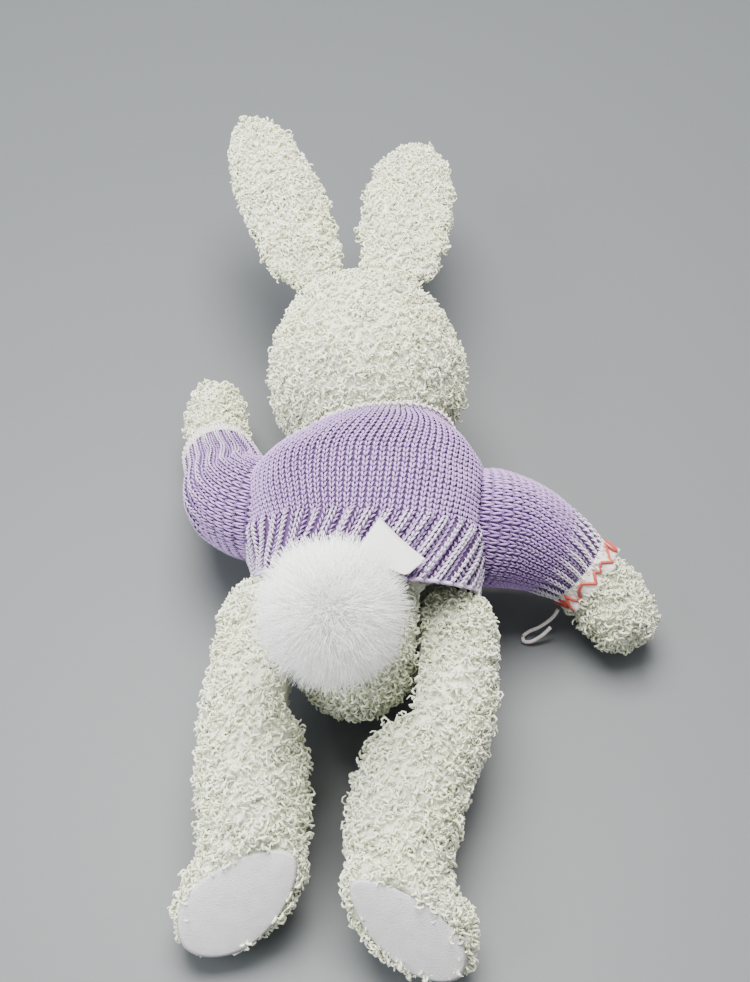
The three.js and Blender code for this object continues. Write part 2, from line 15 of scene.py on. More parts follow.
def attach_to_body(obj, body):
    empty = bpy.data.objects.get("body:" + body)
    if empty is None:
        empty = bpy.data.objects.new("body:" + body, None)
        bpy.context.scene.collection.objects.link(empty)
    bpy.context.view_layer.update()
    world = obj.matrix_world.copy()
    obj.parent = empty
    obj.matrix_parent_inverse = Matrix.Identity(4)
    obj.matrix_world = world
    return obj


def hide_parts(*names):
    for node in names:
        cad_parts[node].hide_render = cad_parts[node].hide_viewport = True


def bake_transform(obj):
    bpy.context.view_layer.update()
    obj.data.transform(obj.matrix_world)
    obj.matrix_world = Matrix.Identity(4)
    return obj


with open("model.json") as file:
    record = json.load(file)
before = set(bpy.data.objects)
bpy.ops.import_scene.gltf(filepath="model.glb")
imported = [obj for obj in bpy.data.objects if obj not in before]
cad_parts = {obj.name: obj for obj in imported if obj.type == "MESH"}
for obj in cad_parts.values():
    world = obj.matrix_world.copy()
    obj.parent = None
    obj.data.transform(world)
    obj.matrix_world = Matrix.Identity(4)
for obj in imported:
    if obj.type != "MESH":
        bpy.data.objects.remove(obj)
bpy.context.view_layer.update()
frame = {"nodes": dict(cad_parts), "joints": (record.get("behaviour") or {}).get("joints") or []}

bl_info = {
    "name": "Plush rabbit in a jumper",
    "version": (1, 0, 0),
    "blender": (4, 5, 0),
    "location": "3D View > Sidebar > Rabbit",
    "description": "Sews, knits and stuffs the soft pieces of a plush rabbit over its CAD frame",
    "category": "Object",
}

MM = 0.001
JOINTS = {joint["name"]: joint for joint in frame["joints"]}

# Where the limbs are, as in the frame: the neck's joint gives the shift between the two
NECK = np.array((0.0, 43.0, 43.0))
ORIGIN = np.array(JOINTS["neck_turn"]["pos_m"]) / MM - NECK
NECK_TURN = 14
SHOULDER = {"x": 36.8, "y": 10.0, "z": 41.5}
HIP = {"x": 21.6, "y": -38.0, "z": 36.0, "radius": 19.3, "clear": 37.0}
HEM = {"y": -17.5, "z": 40.0, "lean": 32}
TAIL = np.array((-6.0, -60.0, 83.5))

# How far each cover's ground lies inside the solid it stands for, which leaves room for its pile
INSET = {"head": 1.6, "ear": 1.4, "arm": 1.5, "leg": 1.6, "trunk": 1.6}
SQUARE = 2.4  # How square the trunk's section is, 2 being round
GRAZE = 0.05  # The least height of a strand over the table
CLOTH_REST = (0.9, 0.8)  # The height at which cloth meets the table, and how softly it bends there


# Numbers and curves


def rows(*columns):
    return np.stack(np.broadcast_arrays(*columns), axis=-1)


def unit(vectors):
    return vectors / np.maximum(np.linalg.norm(vectors, axis=-1, keepdims=True), 1e-9)


def dot(a, b):
    return (a * b).sum(-1)


def squared(wave, square):
    """A cosine or sine squared off: its size to the power of 2 over square, with its own sign."""
    return np.sign(wave) * np.abs(wave) ** (2 / square)


def rested(height):
    """A height that bends softly away from the table: the softened larger of itself and the rest's."""
    rest, soft = CLOTH_REST
    return rest + np.logaddexp(0, (height - rest) / soft) * soft


def lifted(points, least=GRAZE):
    """The points, with none of them lower than least."""
    points[..., 2] = np.maximum(points[..., 2], least)
    return points


def profile(stations):
    """A size along a length: cubic between stations, with slopes from each station's neighbours."""
    places, sizes = np.array(stations, float).T
    slopes = np.gradient(sizes, places)

    def at(place):
        place = np.clip(place, places[0], places[-1])
        i = np.clip(np.searchsorted(places, place) - 1, 0, len(places) - 2)
        span = places[i + 1] - places[i]
        t = (place - places[i]) / span
        start = sizes[i] * (1 + 2 * t) + slopes[i] * span * t
        end = sizes[i + 1] * (3 - 2 * t) - slopes[i + 1] * span * (1 - t)
        return start * (1 - t) ** 2 + end * t * t

    return at


class Path:
    """A smooth line through points, read by its share of the whole length."""

    def __init__(self, points):
        points = np.array(points, float)
        chords = np.linalg.norm(np.diff(points, axis=0), axis=1)
        places = np.concatenate([[0], np.cumsum(chords)])
        fine = np.linspace(0, places[-1], 600)
        self.points = rows(*[profile(np.stack([places, points[:, k]], 1))(fine) for k in range(3)])
        steps = np.linalg.norm(np.diff(self.points, axis=0), axis=1)
        arc = np.concatenate([[0], np.cumsum(steps)])
        self.length = arc[-1]
        self.shares = arc / arc[-1]

    def at(self, share):
        return rows(*[np.interp(share, self.shares, self.points[:, k]) for k in range(3)])

    def along(self, share):
        return unit(self.at(np.asarray(share) + 0.01) - self.at(np.asarray(share) - 0.01))

    def frame(self, share):
        """The directions along the line, sideways from it and on top of it."""
        along = self.along(share)
        side = unit(np.cross(along, (0.0, 0.0, 1.0)))
        return along, side, np.cross(side, along)


def mottle(points, length, seed):
    """An uneven pattern from -1 to 1: the sum of eight waves of about that length in random directions."""
    chance = np.random.default_rng(seed)
    waves = unit(chance.normal(size=(8, 3))) * (2 * np.pi / length) * chance.uniform(0.7, 1.4, (8, 1))
    return np.clip(np.sin(points @ waves.T + chance.uniform(0, 2 * np.pi, 8)).sum(-1) / 3, -1, 1)


def turned(points, degrees, axis):
    return points @ np.array(Matrix.Rotation(math.radians(degrees), 3, axis)).T


def on_head(points):
    """Points of the head's own frame, in the rabbit's."""
    return turned(points, NECK_TURN, "Z") + NECK


def from_head(points):
    return turned(points - NECK, -NECK_TURN, "Z")


def neck_plane(place_on_axis, way):
    """A plane across the neck's axis, facing along it (1) or back (-1)."""
    return on_head(np.array((0, place_on_axis, 0))), turned(np.array((0, way, 0)), NECK_TURN, "Z")


# Meshes


def place(points):
    return (np.asarray(points, float).reshape(-1, 3) + ORIGIN) * MM


def new_piece(name, points, faces, look, smooth=True, **attributes):
    """A mesh from points in millimetres and one or more arrays of faces, with named numbers on its points."""
    faces = faces if isinstance(faces, list) else [faces]
    mesh = bpy.data.meshes.new(name)
    co = place(points)
    mesh.vertices.add(len(co))
    mesh.vertices.foreach_set("co", co.ravel())
    corners = np.concatenate([f.ravel() for f in faces])
    sides = np.concatenate([np.full(len(f), f.shape[1]) for f in faces])
    mesh.loops.add(len(corners))
    mesh.loops.foreach_set("vertex_index", corners)
    mesh.polygons.add(len(sides))
    mesh.polygons.foreach_set("loop_start", np.concatenate([[0], np.cumsum(sides)[:-1]]))
    mesh.update(calc_edges=True)
    mesh.polygons.foreach_set("use_smooth", np.full(len(sides), smooth))
    for key, values in attributes.items():
        layer = mesh.attributes.new(key, "FLOAT", "POINT")
        layer.data.foreach_set("value", np.asarray(values, np.float32).ravel())
    piece = bpy.data.objects.new(name, mesh)
    bpy.context.scene.collection.objects.link(piece)
    mesh.materials.append(look)
    return piece


def triples(elements, key):
    """Three numbers of each of a mesh's elements, such as its points' places or its faces' normals."""
    values = np.zeros(len(elements) * 3)
    elements.foreach_get(key, values)
    return values.reshape(-1, 3)


def points_of(piece):
    """A piece's points, in millimetres of the rabbit's frame."""
    return triples(piece.data.vertices, "co") / MM - ORIGIN


def move_points(piece, points):
    piece.data.vertices.foreach_set("co", place(points).ravel())
    piece.data.update()


def finished(piece):
    """The piece with its modifiers worked into its mesh."""
    graph = bpy.context.evaluated_depsgraph_get()
    mesh = bpy.data.meshes.new_from_object(piece.evaluated_get(graph))
    piece.modifiers.clear()
    piece.data = mesh
    return piece


def thickened(piece, thickness, offset=0):
    """The sheet given a wall, half on each side of it, or all of it inside where offset is -1."""
    solid = piece.modifiers.new("Thickness", "SOLIDIFY")
    solid.thickness, solid.offset = thickness * MM, offset
    return finished(piece)


def dress(piece, material):
    piece.data.materials.clear()
    piece.data.materials.append(material)


def tube_faces(count, rings, sides, closed=False):
    """Faces of count tubes, each of rings times sides points: a wall round each, and a cap on open ends."""
    ring = np.arange(rings if closed else rings - 1)[:, None]
    side = np.arange(sides)[None, :]
    ahead, beside = (ring + 1) % rings, (side + 1) % sides
    wall = rows(ring * sides + side, ring * sides + beside, ahead * sides + beside, ahead * sides + side)
    starts = np.arange(count)[:, None, None] * rings * sides
    faces = [(wall.reshape(1, -1, 4) + starts).reshape(-1, 4)]
    if not closed:
        caps = np.stack([np.arange(sides)[::-1], np.arange(sides) + (rings - 1) * sides])
        faces.append((caps[None] + starts).reshape(-1, sides))
    return faces


def tubes(lines, outward, radius, sides=4, flat=1.0):
    """Round strands along lines of points, lines x rings x 3. A ring's points stand at equal angles between
    the direction outward and the direction across the line, at the ring's radius."""
    along = unit(np.gradient(lines, axis=-2))
    across = unit(np.cross(along, outward))
    over = np.cross(across, along)
    angle = 2 * np.pi * np.arange(sides) / sides + np.pi / sides
    wide = np.asarray(radius)[..., None, None] * np.cos(angle)[:, None]
    high = np.asarray(radius)[..., None, None] * np.sin(angle)[:, None] * flat
    return lines[..., None, :] + across[..., None, :] * wide + over[..., None, :] * high


def sheet_faces(lines, across):
    """Faces of an open sheet: a tube's wall without the column that would close it."""
    return tube_faces(1, lines, across)[0].reshape(lines - 1, across, 4)[:, :-1].reshape(-1, 4)


def round_ring(values, sides=3):
    """One number for each ring of a strand, given to each of the ring's points."""
    return np.repeat(values[..., None], sides, axis=-1)


def ball(centre, size, turn=None, around=28, rings=18):
    """A ball: the centre plus its half-sizes times the sines and cosines of two angles."""
    rise = np.pi * (np.arange(rings) + 0.5)[:, None] / rings
    angle = 2 * np.pi * np.arange(around)[None, :] / around
    shape = rows(np.sin(rise) * np.cos(angle), np.sin(rise) * np.sin(angle), -np.cos(rise) + 0 * angle)
    shape = shape * np.asarray(size, float)
    return np.asarray(centre, float) + (shape if turn is None else shape @ np.array(turn, float).T)


def carried(path, across, up, around=30, rings=26, blunt=3.0, square=2.0):
    """A closed body carried along a path. A ring's points are the cosine and sine of their angle, squared
    off, times the half-widths across and up there, times a rounding that falls to nothing at both ends."""
    height = np.cos(np.pi * (np.arange(rings) + 0.5) / rings)
    share = (1 - height) / 2
    rounding = (1 - np.abs(height) ** blunt) ** (1 / blunt)
    angle = 2 * np.pi * np.arange(around) / around
    wide, high = squared(np.cos(angle), square), squared(np.sin(angle), square)
    _, side, top = path.frame(share)
    reach_side = (across(share) * rounding)[:, None, None] * side[:, None, :] * wide[None, :, None]
    reach_top = (up(share) * rounding)[:, None, None] * top[:, None, :] * high[None, :, None]
    return path.at(share)[:, None, :] + reach_side + reach_top


# Looks


class Value:
    """A socket of a look's nodes. Arithmetic on it adds Math nodes."""

    def __init__(self, look, socket):
        self.look, self.socket = look, socket

    def maths(self, operation, *values):
        return self.look.node("ShaderNodeMath", values, operation=operation)

    def __add__(self, other):
        return self.maths("ADD", self, other)

    def __mul__(self, other):
        return self.maths("MULTIPLY", self, other)

    __radd__ = __add__
    __rmul__ = __mul__


class Look:
    """A material and the nodes that make it."""

    def __init__(self, name, roughness=0.8, **constants):
        self.material = bpy.data.materials.new(name)
        self.material.use_nodes = True
        self.tree = self.material.node_tree
        self.shader = self.tree.nodes["Principled BSDF"]
        self.shader.inputs["Roughness"].default_value = roughness
        for key, value in constants.items():
            self.shader.inputs[key.replace("_", " ")].default_value = value

    def node(self, kind, inputs=(), out=0, **settings):
        """A node with its settings, its sockets by place or by name, and one of its outputs as a Value."""
        made = self.tree.nodes.new(kind)
        for key, value in settings.items():
            setattr(made, key, value)
        for key, value in inputs.items() if isinstance(inputs, dict) else enumerate(inputs):
            if isinstance(value, Value):
                self.tree.links.new(value.socket, made.inputs[key])
            else:
                made.inputs[key].default_value = value
        return Value(self, made.outputs[out])

    def places(self):
        return self.node("ShaderNodeTexCoord", out="Object")

    def noise(self, size, detail=2.0, at=None):
        """Even noise from 0 to 1 whose lumps are about size millimetres across."""
        inputs = {"Vector": at or self.places(), "Scale": 1 / (size * MM), "Detail": detail}
        return self.node("ShaderNodeTexNoise", inputs)

    def number(self, name):
        return self.node("ShaderNodeAttribute", out="Fac", attribute_name=name)

    def ramp(self, value, low, high):
        """0 up to low, 1 from high, and even between."""
        inputs = {"Value": value, "From Min": low, "From Max": high}
        return self.node("ShaderNodeMapRange", inputs)

    def blend(self, share, first, second, kind="MIX"):
        colour = lambda value: value if isinstance(value, Value) else (*value[:3], 1.0)
        inputs = {0: share, 6: colour(first), 7: colour(second)}
        return self.node("ShaderNodeMix", inputs, out=2, data_type="RGBA", blend_type=kind)

    def set(self, socket, value):
        self.tree.links.new(value.socket, self.shader.inputs[socket])
        return self

    def bump(self, height, depth, strength=1.0):
        """A height from 0 to 1 that stands depth millimetres out."""
        inputs = {"Height": height, "Distance": depth * MM, "Strength": strength}
        return self.set("Normal", self.node("ShaderNodeBump", inputs, out="Normal"))


def shade(colour, amount):
    return tuple(min(1.0, part * amount) for part in colour[:3])


def backing_cloth(name, colour):
    """The plush's knitted ground: uneven, darker between its lumps as painted shade, with a fine mesh of threads."""
    made = Look(name, 0.95, Sheen_Weight=0.2)
    lumps = made.ramp(made.noise(4.0, 3.0), 0.35, 0.65)
    fine = made.noise(0.7, 2.0)
    # Painted shade: the ground is darker on the whole than the pile over it, and darkest between its lumps.
    made.set("Base Color", made.blend(lumps, shade(colour, 0.62), shade(colour, 0.92)))
    return made.bump(lumps * 0.6 + fine * 0.4, 0.8)


def curl_yarn(name, colour):
    """Curled pile: greyer at its roots and in the hollows as painted shade, creamy white as a painted highlight where
    it catches the light.
    """
    made = Look(name, 0.8, Sheen_Weight=0.25, Sheen_Roughness=0.4)
    tone = made.number("tone")
    drift = made.ramp(made.noise(26.0, 1.0), 0.3, 0.7)
    # A shaded and a lit copy of the pile's colour, blended by each curl's tone: painted shade and painted highlight.
    shaded_pile = made.blend(drift, shade(colour, 0.70), tuple(a * b for a, b in zip(colour, (0.72, 0.71, 0.64))))
    light = made.blend(drift, shade(colour, 1.14), tuple(a * b for a, b in zip(colour, (1.17, 1.16, 1.10))))
    made.set("Base Color", made.blend(tone, shaded_pile, light))
    return made.bump(made.noise(0.35, 1.0), 0.15)


def tail_fibre(name, colour):
    # The faint white emission is a painted glow that lifts the fur. The tone blends a darker copy of the colour towards
    # the roots as painted shade.
    made = Look(name, 0.55, Sheen_Weight=0.5, Emission_Color=(1.0, 1.0, 0.97, 1.0), Emission_Strength=0.24)
    tone = made.number("tone")
    made.set("Base Color", made.blend(tone, shade(colour, 0.7), colour))
    return made.set("Roughness", made.noise(3.0) * 0.3 + 0.4)


def jumper_yarn(name, colour, pale):
    """Twisted lilac yarn: plies across each strand, paler at each strand's raised middle as a painted highlight and
    darker at its tucked ends as painted shade, white where it is edged with white yarn and, on the rib's crests, partly
    as a painted highlight.
    """
    made = Look(name, 0.72, Sheen_Weight=0.35, Sheen_Roughness=0.35)
    tone, white = made.number("tone"), made.number("white")
    heather = made.ramp(made.noise(1.1, 3.0), 0.3, 0.7)
    # A shaded and a lit copy of the lilac blended by tone, then drawn towards the pale ply where tone is high: painted
    # shade at a strand's ends, painted highlight at its middle.
    base = made.blend(tone, shade(colour, 0.42), shade(colour, 1.45))
    base = made.blend((heather * 0.4 + 0.4) * tone, base, pale)
    made.set("Base Color", made.blend(white, base, (0.9, 0.87, 0.9)))
    return made.bump(made.noise(0.4, 2.0), 0.22)


def shaded_jumper_ground(name, colour):
    made = Look(name, 0.9)
    # Painted shade: the ground between the strands is coloured a fifth to a half as bright as the lilac.
    made.set("Base Color", made.blend(made.noise(1.5, 2.0), shade(colour, 0.22), shade(colour, 0.48)))
    return made.bump(made.noise(1.2, 2.0), 0.4)


def sewing_thread(name, colour):
    made = Look(name, 0.6, Sheen_Weight=0.2)
    made.set("Base Color", made.blend(made.ramp(made.noise(0.9, 2.0), 0.3, 0.7), shade(colour, 0.72), colour))
    return made.bump(made.noise(0.3, 1.0), 0.15)


def brushed_suede(name, colour):
    """Short brushed nap: cloudy patches a few millimetres wide where it lies one way or the other."""
    made = Look(name, 0.88, Sheen_Weight=0.5, Sheen_Roughness=0.5)
    patches, nap = made.ramp(made.noise(5.0, 3.0), 0.3, 0.7), made.ramp(made.noise(0.4, 3.0), 0.3, 0.7)
    made.set("Base Color", made.blend(patches * 0.5 + nap * 0.5, shade(colour, 0.78), colour))
    return made.bump(nap * 0.7 + patches * 0.3, 0.25)


def label_satin(name, colour):
    """Woven satin: fine floats that run one way, with a soft gloss."""
    made = Look(name, 0.38, Anisotropic=0.4, Sheen_Weight=0.2)
    floats = made.node("ShaderNodeTexWave", {"Vector": made.places(), "Scale": 900.0, "Distortion": 1.0})
    made.set("Base Color", made.blend(floats, shade(colour, 0.93), colour))
    return made.bump(floats, 0.05)


def moulded_plastic(name, colour, roughness):
    made = Look(name, roughness)
    made.set("Base Color", made.blend(made.noise(3.0, 2.0), shade(colour, 0.94), colour))
    made.set("Roughness", made.noise(0.6, 2.0) * 0.1 + roughness)
    return made.bump(made.noise(0.8, 1.0), 0.02)


def loose_filling(name, colour):
    made = Look(name, 1.0)
    made.set("Base Color", made.blend(made.noise(2.0, 4.0), shade(colour, 0.8), colour))
    return made.bump(made.noise(1.2, 4.0), 0.8)


# Each look by its name, made from the colours that the scene's groups hold or from its own
LOOKS = {
    "plush_ground": lambda name, scene: backing_cloth(name, scene.rabbit_plush.colour),
    "plush_curls": lambda name, scene: curl_yarn(name, scene.rabbit_plush.colour),
    "white_suede": lambda name, scene: brushed_suede(name, scene.rabbit_plush.suede),
    "tail_fur": lambda name, scene: tail_fibre(name, scene.rabbit_tail.colour),
    "lilac_yarn": lambda name, scene: jumper_yarn(name, scene.rabbit_jumper.colour, scene.rabbit_jumper.pale),
    "lilac_ground": lambda name, scene: shaded_jumper_ground(name, scene.rabbit_jumper.colour),
    "cream_thread": lambda name, scene: sewing_thread(name, scene.rabbit_jumper.cream),
    "red_thread": lambda name, scene: sewing_thread(name, scene.rabbit_jumper.red),
    "nose_thread": lambda name, scene: sewing_thread(name, (0.55, 0.30, 0.32)),
    "label_satin": lambda name, scene: label_satin(name, (0.76, 0.75, 0.74)),
    "eye_black": lambda name, scene: moulded_plastic(name, (0.012, 0.011, 0.012), 0.08),
    "joint_plastic": lambda name, scene: moulded_plastic(name, (0.78, 0.78, 0.78), 0.4),
    "table_top": lambda name, scene: moulded_plastic(name, scene.rabbit_stage.table, 0.45),
    "loose_filling": lambda name, scene: loose_filling(name, (0.86, 0.86, 0.86)),
    "pellet_cotton": lambda name, scene: loose_filling(name, (0.62, 0.59, 0.52)),
}
_made = {}


def look(name):
    """The material of a look, made when it is first asked for."""
    if name not in _made:
        _made[name] = LOOKS[name](name, bpy.context.scene).material
    return _made[name]


# Stuffed pieces


def pressed(points, planes):
    """Points beyond a plane are brought back onto it. A plane is a point and the direction outwards."""
    for point, outwards in planes:
        outwards = unit(np.array(outwards, float))
        beyond = np.maximum(0, (points - np.array(point, float)) @ outwards)
        points = points - beyond[:, None] * outwards
    return points


SWELL_FRAMES = 20


def swell(piece, limit):
    """The cloth shell under inner pressure without gravity, from the first frame to the last. No point
    moves further than limit from where it was cut."""
    rest = points_of(piece)
    cloth = piece.modifiers.new("Filling", "CLOTH")
    cloth.settings.use_pressure = True
    cloth.settings.uniform_pressure_force = 4
    cloth.settings.effector_weights.gravity = 0
    cloth.point_cache.frame_end = SWELL_FRAMES
    for number in range(1, SWELL_FRAMES + 1):
        bpy.context.scene.frame_set(number)
    graph = bpy.context.evaluated_depsgraph_get()
    move = points_of(piece.evaluated_get(graph)) - rest
    piece.modifiers.remove(cloth)
    far = np.linalg.norm(move, axis=1, keepdims=True)
    move_points(piece, rest + move * np.minimum(1, limit / np.maximum(far, 1e-6)))
    bpy.context.scene.frame_set(1)


def stuffed(name, shells, planes, voxel=4.0, limit=1.2, lumps=0.9, seed=1):
    """A stuffed cover: closed shells made one by an even remesh, swelled by their filling, flattened on
    planes, smoothed, and made uneven by the pile's lumps."""
    corners, faces, count = [], [], 0
    for shell in shells:
        rings, around, _ = shell.shape
        corners.append(shell.reshape(-1, 3))
        faces += [f + count for f in tube_faces(1, rings, around)]
        count += rings * around
    grouped = [np.concatenate([f for f in faces if f.shape[1] == n]) for n in sorted({f.shape[1] for f in faces})]
    piece = new_piece(name, np.concatenate(corners), grouped, look("plush_ground"))
    remesh = piece.modifiers.new("Even", "REMESH")
    remesh.mode = "VOXEL"
    remesh.voxel_size = voxel * MM
    remesh.use_smooth_shade = True
    finished(piece)
    move_points(piece, pressed(points_of(piece), planes))
    swell(piece, limit)
    move_points(piece, pressed(points_of(piece), planes))
    soften = piece.modifiers.new("Soften", "SMOOTH")
    soften.factor, soften.iterations = 0.5, 3
    finer = piece.modifiers.new("Finer", "SUBSURF")
    finer.levels = finer.render_levels = 1
    finished(piece)
    points = points_of(piece)
    points += triples(piece.data.vertices, "normal") * (lumps * mottle(points, 7.0, seed))[:, None]
    move_points(piece, pressed(points, planes))
    dress(piece, look("plush_ground"))
    return piece


STRAY = {"share": 0.05, "size": 1.4}  # How many curls are larger than the others, and by how much


def curls(name, ground, keep, seed=1, size=1.0, grey=0.0, low=0.62, lean=(0, 65), arc=(160, 340), rings=6):
    """Curled pile on a stuffed cover. A curl stands on each face where keep allows: an arc of a small
    circle, root + radius x ((1 - cos a) x up + sin a x sideways) + pitch x across, leaning at random."""
    plush = bpy.context.scene.rabbit_plush
    centres = triples(ground.data.polygons, "center") / MM - ORIGIN
    normals = triples(ground.data.polygons, "normal")
    kept = keep(centres)
    centres, normals = centres[kept], normals[kept]
    count = len(centres)
    chance = np.random.default_rng(seed)
    sideways = unit(np.cross(normals, chance.normal(size=(count, 3))))
    across = np.cross(normals, sideways)
    lean = np.radians(chance.uniform(*lean, count))[:, None]
    up = normals * np.cos(lean) + across * np.sin(lean)
    pitch = np.cross(up, sideways)
    stray = np.where(chance.random(count) < STRAY["share"], STRAY["size"], 1.0)
    radius = plush.curl * size * chance.uniform(0.6, 1.2, count) * stray
    share = np.linspace(0, 1, rings)
    turn = np.radians(chance.uniform(*arc, count))[:, None] * share
    rise = (1 - np.cos(turn))[..., None] * up[:, None, :]
    run = np.sin(turn)[..., None] * sideways[:, None, :]
    slip = (share * chance.uniform(-1.6, 1.6, count)[:, None])[..., None] * pitch[:, None, :]
    jitter = sideways * chance.uniform(-1.0, 1.0, (count, 1)) + across * chance.uniform(-1.0, 1.0, (count, 1))
    roots = centres + jitter + normals * (0.7 * mottle(centres, 4.6, seed + 3)[:, None] - 0.15)
    lines = roots[:, None, :] + radius[:, None, None] * (rise + run + slip)
    thick = plush.strand * size * chance.uniform(0.75, 1.2, count)[:, None] * (0.55 + 0.45 * np.sin(np.pi * share))
    shapes = lifted(tubes(lines, pitch[:, None, :], thick, sides=3))
    lumps = mottle(centres, 5.0, seed + 9)
    hue = np.clip(0.52 + 0.2 * lumps + chance.normal(0, 0.16, count) - grey, 0, 1)
    # Painted shade and highlight: a curl's tone is lowest at its root and rises with its height towards the top.
    height = 0.5 * (1 - np.cos(np.minimum(turn, np.pi)))
    tone = np.clip(hue[:, None] * (low + (1 - low) * height) + 0.18 * height, 0, 1)
    return new_piece(name, shapes, tube_faces(count, rings, 3), look("plush_curls"), tone=round_ring(tone))


def pile(name, ground, keep, seed=1, **looks):
    """Two layers of curls: small flat ones that cover the ground, and open ones that stand over them."""
    flat = {"size": 0.9, "lean": (50, 88), "arc": (120, 240), "rings": 4}
    low = curls(f"{name}_undercurls", ground, keep, seed + 500, **flat, **looks)
    return low, curls(f"{name}_curls", ground, keep, seed, **looks)


def attach(piece, body, slot, *nodes):
    """The piece rides on a body and stands for the nodes named. The slot is not used."""
    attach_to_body(piece, body)
    if nodes:
        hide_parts(*nodes)
    return piece


FLOOR = ((0, 0, 0.2), (0, 0, -1))


def head_body(inset):
    """The head: half-widths across and up by the distance from the neck, with a ball for the muzzle."""
    across = profile([(0, 21), (6, 28), (13, 34.5), (22, 38.5), (34, 39), (46, 37), (58, 33), (68, 28), (78, 20)])
    up = profile([(0, 21), (6, 26), (13, 30), (22, 34.5), (34, 36.5), (46, 35.5), (58, 32), (68, 27), (78, 19)])
    path = Path([(0, -8, 2), (0, 30, 4), (0, 78 - inset, 4)])
    by = lambda size: lambda share: size(path.at(share)[..., 1]) - inset
    skull = carried(path, by(across), by(up), blunt=4)
    muzzle = ball((0, 33, -24), np.array((22, 21, 20)) - inset)
    return [on_head(skull), on_head(muzzle)]


EARS = {
    "left": {"x": -14, "splay": 10, "lift": 5, "length": 108, "fuller": 0.4},
    "right": {"x": 18, "splay": -14.5, "lift": -6, "length": 104, "fuller": 1.6},
}
EAR_ROOT = {"y": 74, "z": 12}
EAR_WIDE = profile([(0, 18), (0.12, 18.5), (0.35, 19.5), (0.6, 19.5), (0.8, 18), (0.93, 16), (1, 14)])
EAR_THICK = profile([(0, 4.5), (0.3, 5.5), (0.7, 5.5), (1, 4.5)])


def on_ear(ear, points):
    """Points of an ear's own frame, its hinge along X and its tip towards +Y, in the rabbit's."""
    points = turned(turned(points, ear["lift"], "X"), ear["splay"], "Z")
    return on_head(points + np.array((ear["x"], EAR_ROOT["y"], EAR_ROOT["z"])))


def from_ear(ear, points):
    points = from_head(points) - np.array((ear["x"], EAR_ROOT["y"], EAR_ROOT["z"]))
    return turned(turned(points, -ear["splay"], "Z"), -ear["lift"], "X")


def ear_path(ear):
    length = ear["length"]
    return Path([(0, -4, 0), (0, length * 0.35, 1.5), (0, length * 0.7, 1.5), (0, length, -1)])


ARMS = {
    "left": {
        "side": -1,
        "points": [(-26, 10, 41.5), (-43.5, 10.5, 41), (-53, 18.5, 35.5), (-59.5, 35, 28), (-66, 52, 22),
                   (-69.5, 69, 19), (-72, 86, 18)],
        "cuff": 0.62, "grey": 0.06,
        "sleeve": profile([(0, 19.4), (0.2, 19), (0.32, 17.2), (0.46, 15), (0.62, 13.2), (1, 13)]),
        "arm": profile([(0, 16), (0.16, 16.2), (0.4, 14.5), (0.62, 11.5), (0.82, 13), (1, 12.5)]),
    },
    "right": {
        "side": 1,
        "points": [(26, 10, 41.5), (41, 10, 41.5), (55, 11, 36.5), (68, 9.5, 30), (78, 6.5, 24), (88, 0.5, 18.5),
                   (95.6, -8.4, 15.5), (100.8, -16.4, 14.5)],
        "cuff": 0.63, "grey": 0.3,
        "sleeve": profile([(0, 21.6), (0.22, 21.2), (0.4, 18.8), (0.52, 15.6), (0.63, 12.9), (1, 12.6)]),
        "arm": profile([(0, 17), (0.22, 17), (0.4, 16), (0.63, 12.5), (0.84, 15), (1, 14.5)]),
    },
}
LEGS = {
    "left": {
        "side": -1,
        "points": [(-33.5, -27, 36), (-34, -45, 36), (-34, -68, 33.5), (-30.5, -92, 29), (-27.5, -110, 26),
                   (-28.5, -136, 24)],
        "across": profile([(0, 15), (0.2, 16.8), (0.45, 18), (0.7, 20), (0.85, 20.5), (1, 19)]),
        "up": profile([(0, 18), (0.2, 19), (0.5, 19.5), (0.8, 20.5), (1, 20)]),
        "heel": (-13.5, -123.5, 35), "toe": (-43.5, -147, 14.5), "face": (0.17, -0.75, 0.66), "narrow": 0.97,
    },
    "right": {
        "side": 1,
        "points": [(34, -27, 36), (35.5, -45, 36), (32.5, -67, 33.5), (24, -90, 29), (21, -108, 26), (27, -136, 24)],
        "across": profile([(0, 15), (0.2, 17), (0.45, 18.5), (0.65, 20), (0.85, 20.5), (1, 19)]),
        "up": profile([(0, 18), (0.2, 19), (0.5, 19.5), (0.8, 20.5), (1, 20)]),
        "heel": (9, -131, 37), "toe": (42.5, -148.5, 14.5), "face": (-0.08, -0.87, 0.48), "narrow": 0.86,
    },
}
SOLE = {"length": 23, "width": 13.5, "rim": 3.6, "depth": 17, "crown": 2.4}


def sole_frame(leg):
    """The middle of a sole and the directions to its toe, across it and out of it."""
    heel, toe = np.array(leg["heel"], float), np.array(leg["toe"], float)
    forwards = unit(toe - heel)
    out = np.array(leg["face"], float)
    out = unit(out - (out @ forwards) * forwards)
    return (heel + toe) / 2, forwards, np.cross(out, forwards), out


# Knitting


SKIN_ROWS, SKIN_COLUMNS = 120, 360
PROBES = np.array([0.1, 0.35, 0.6, 0.85])


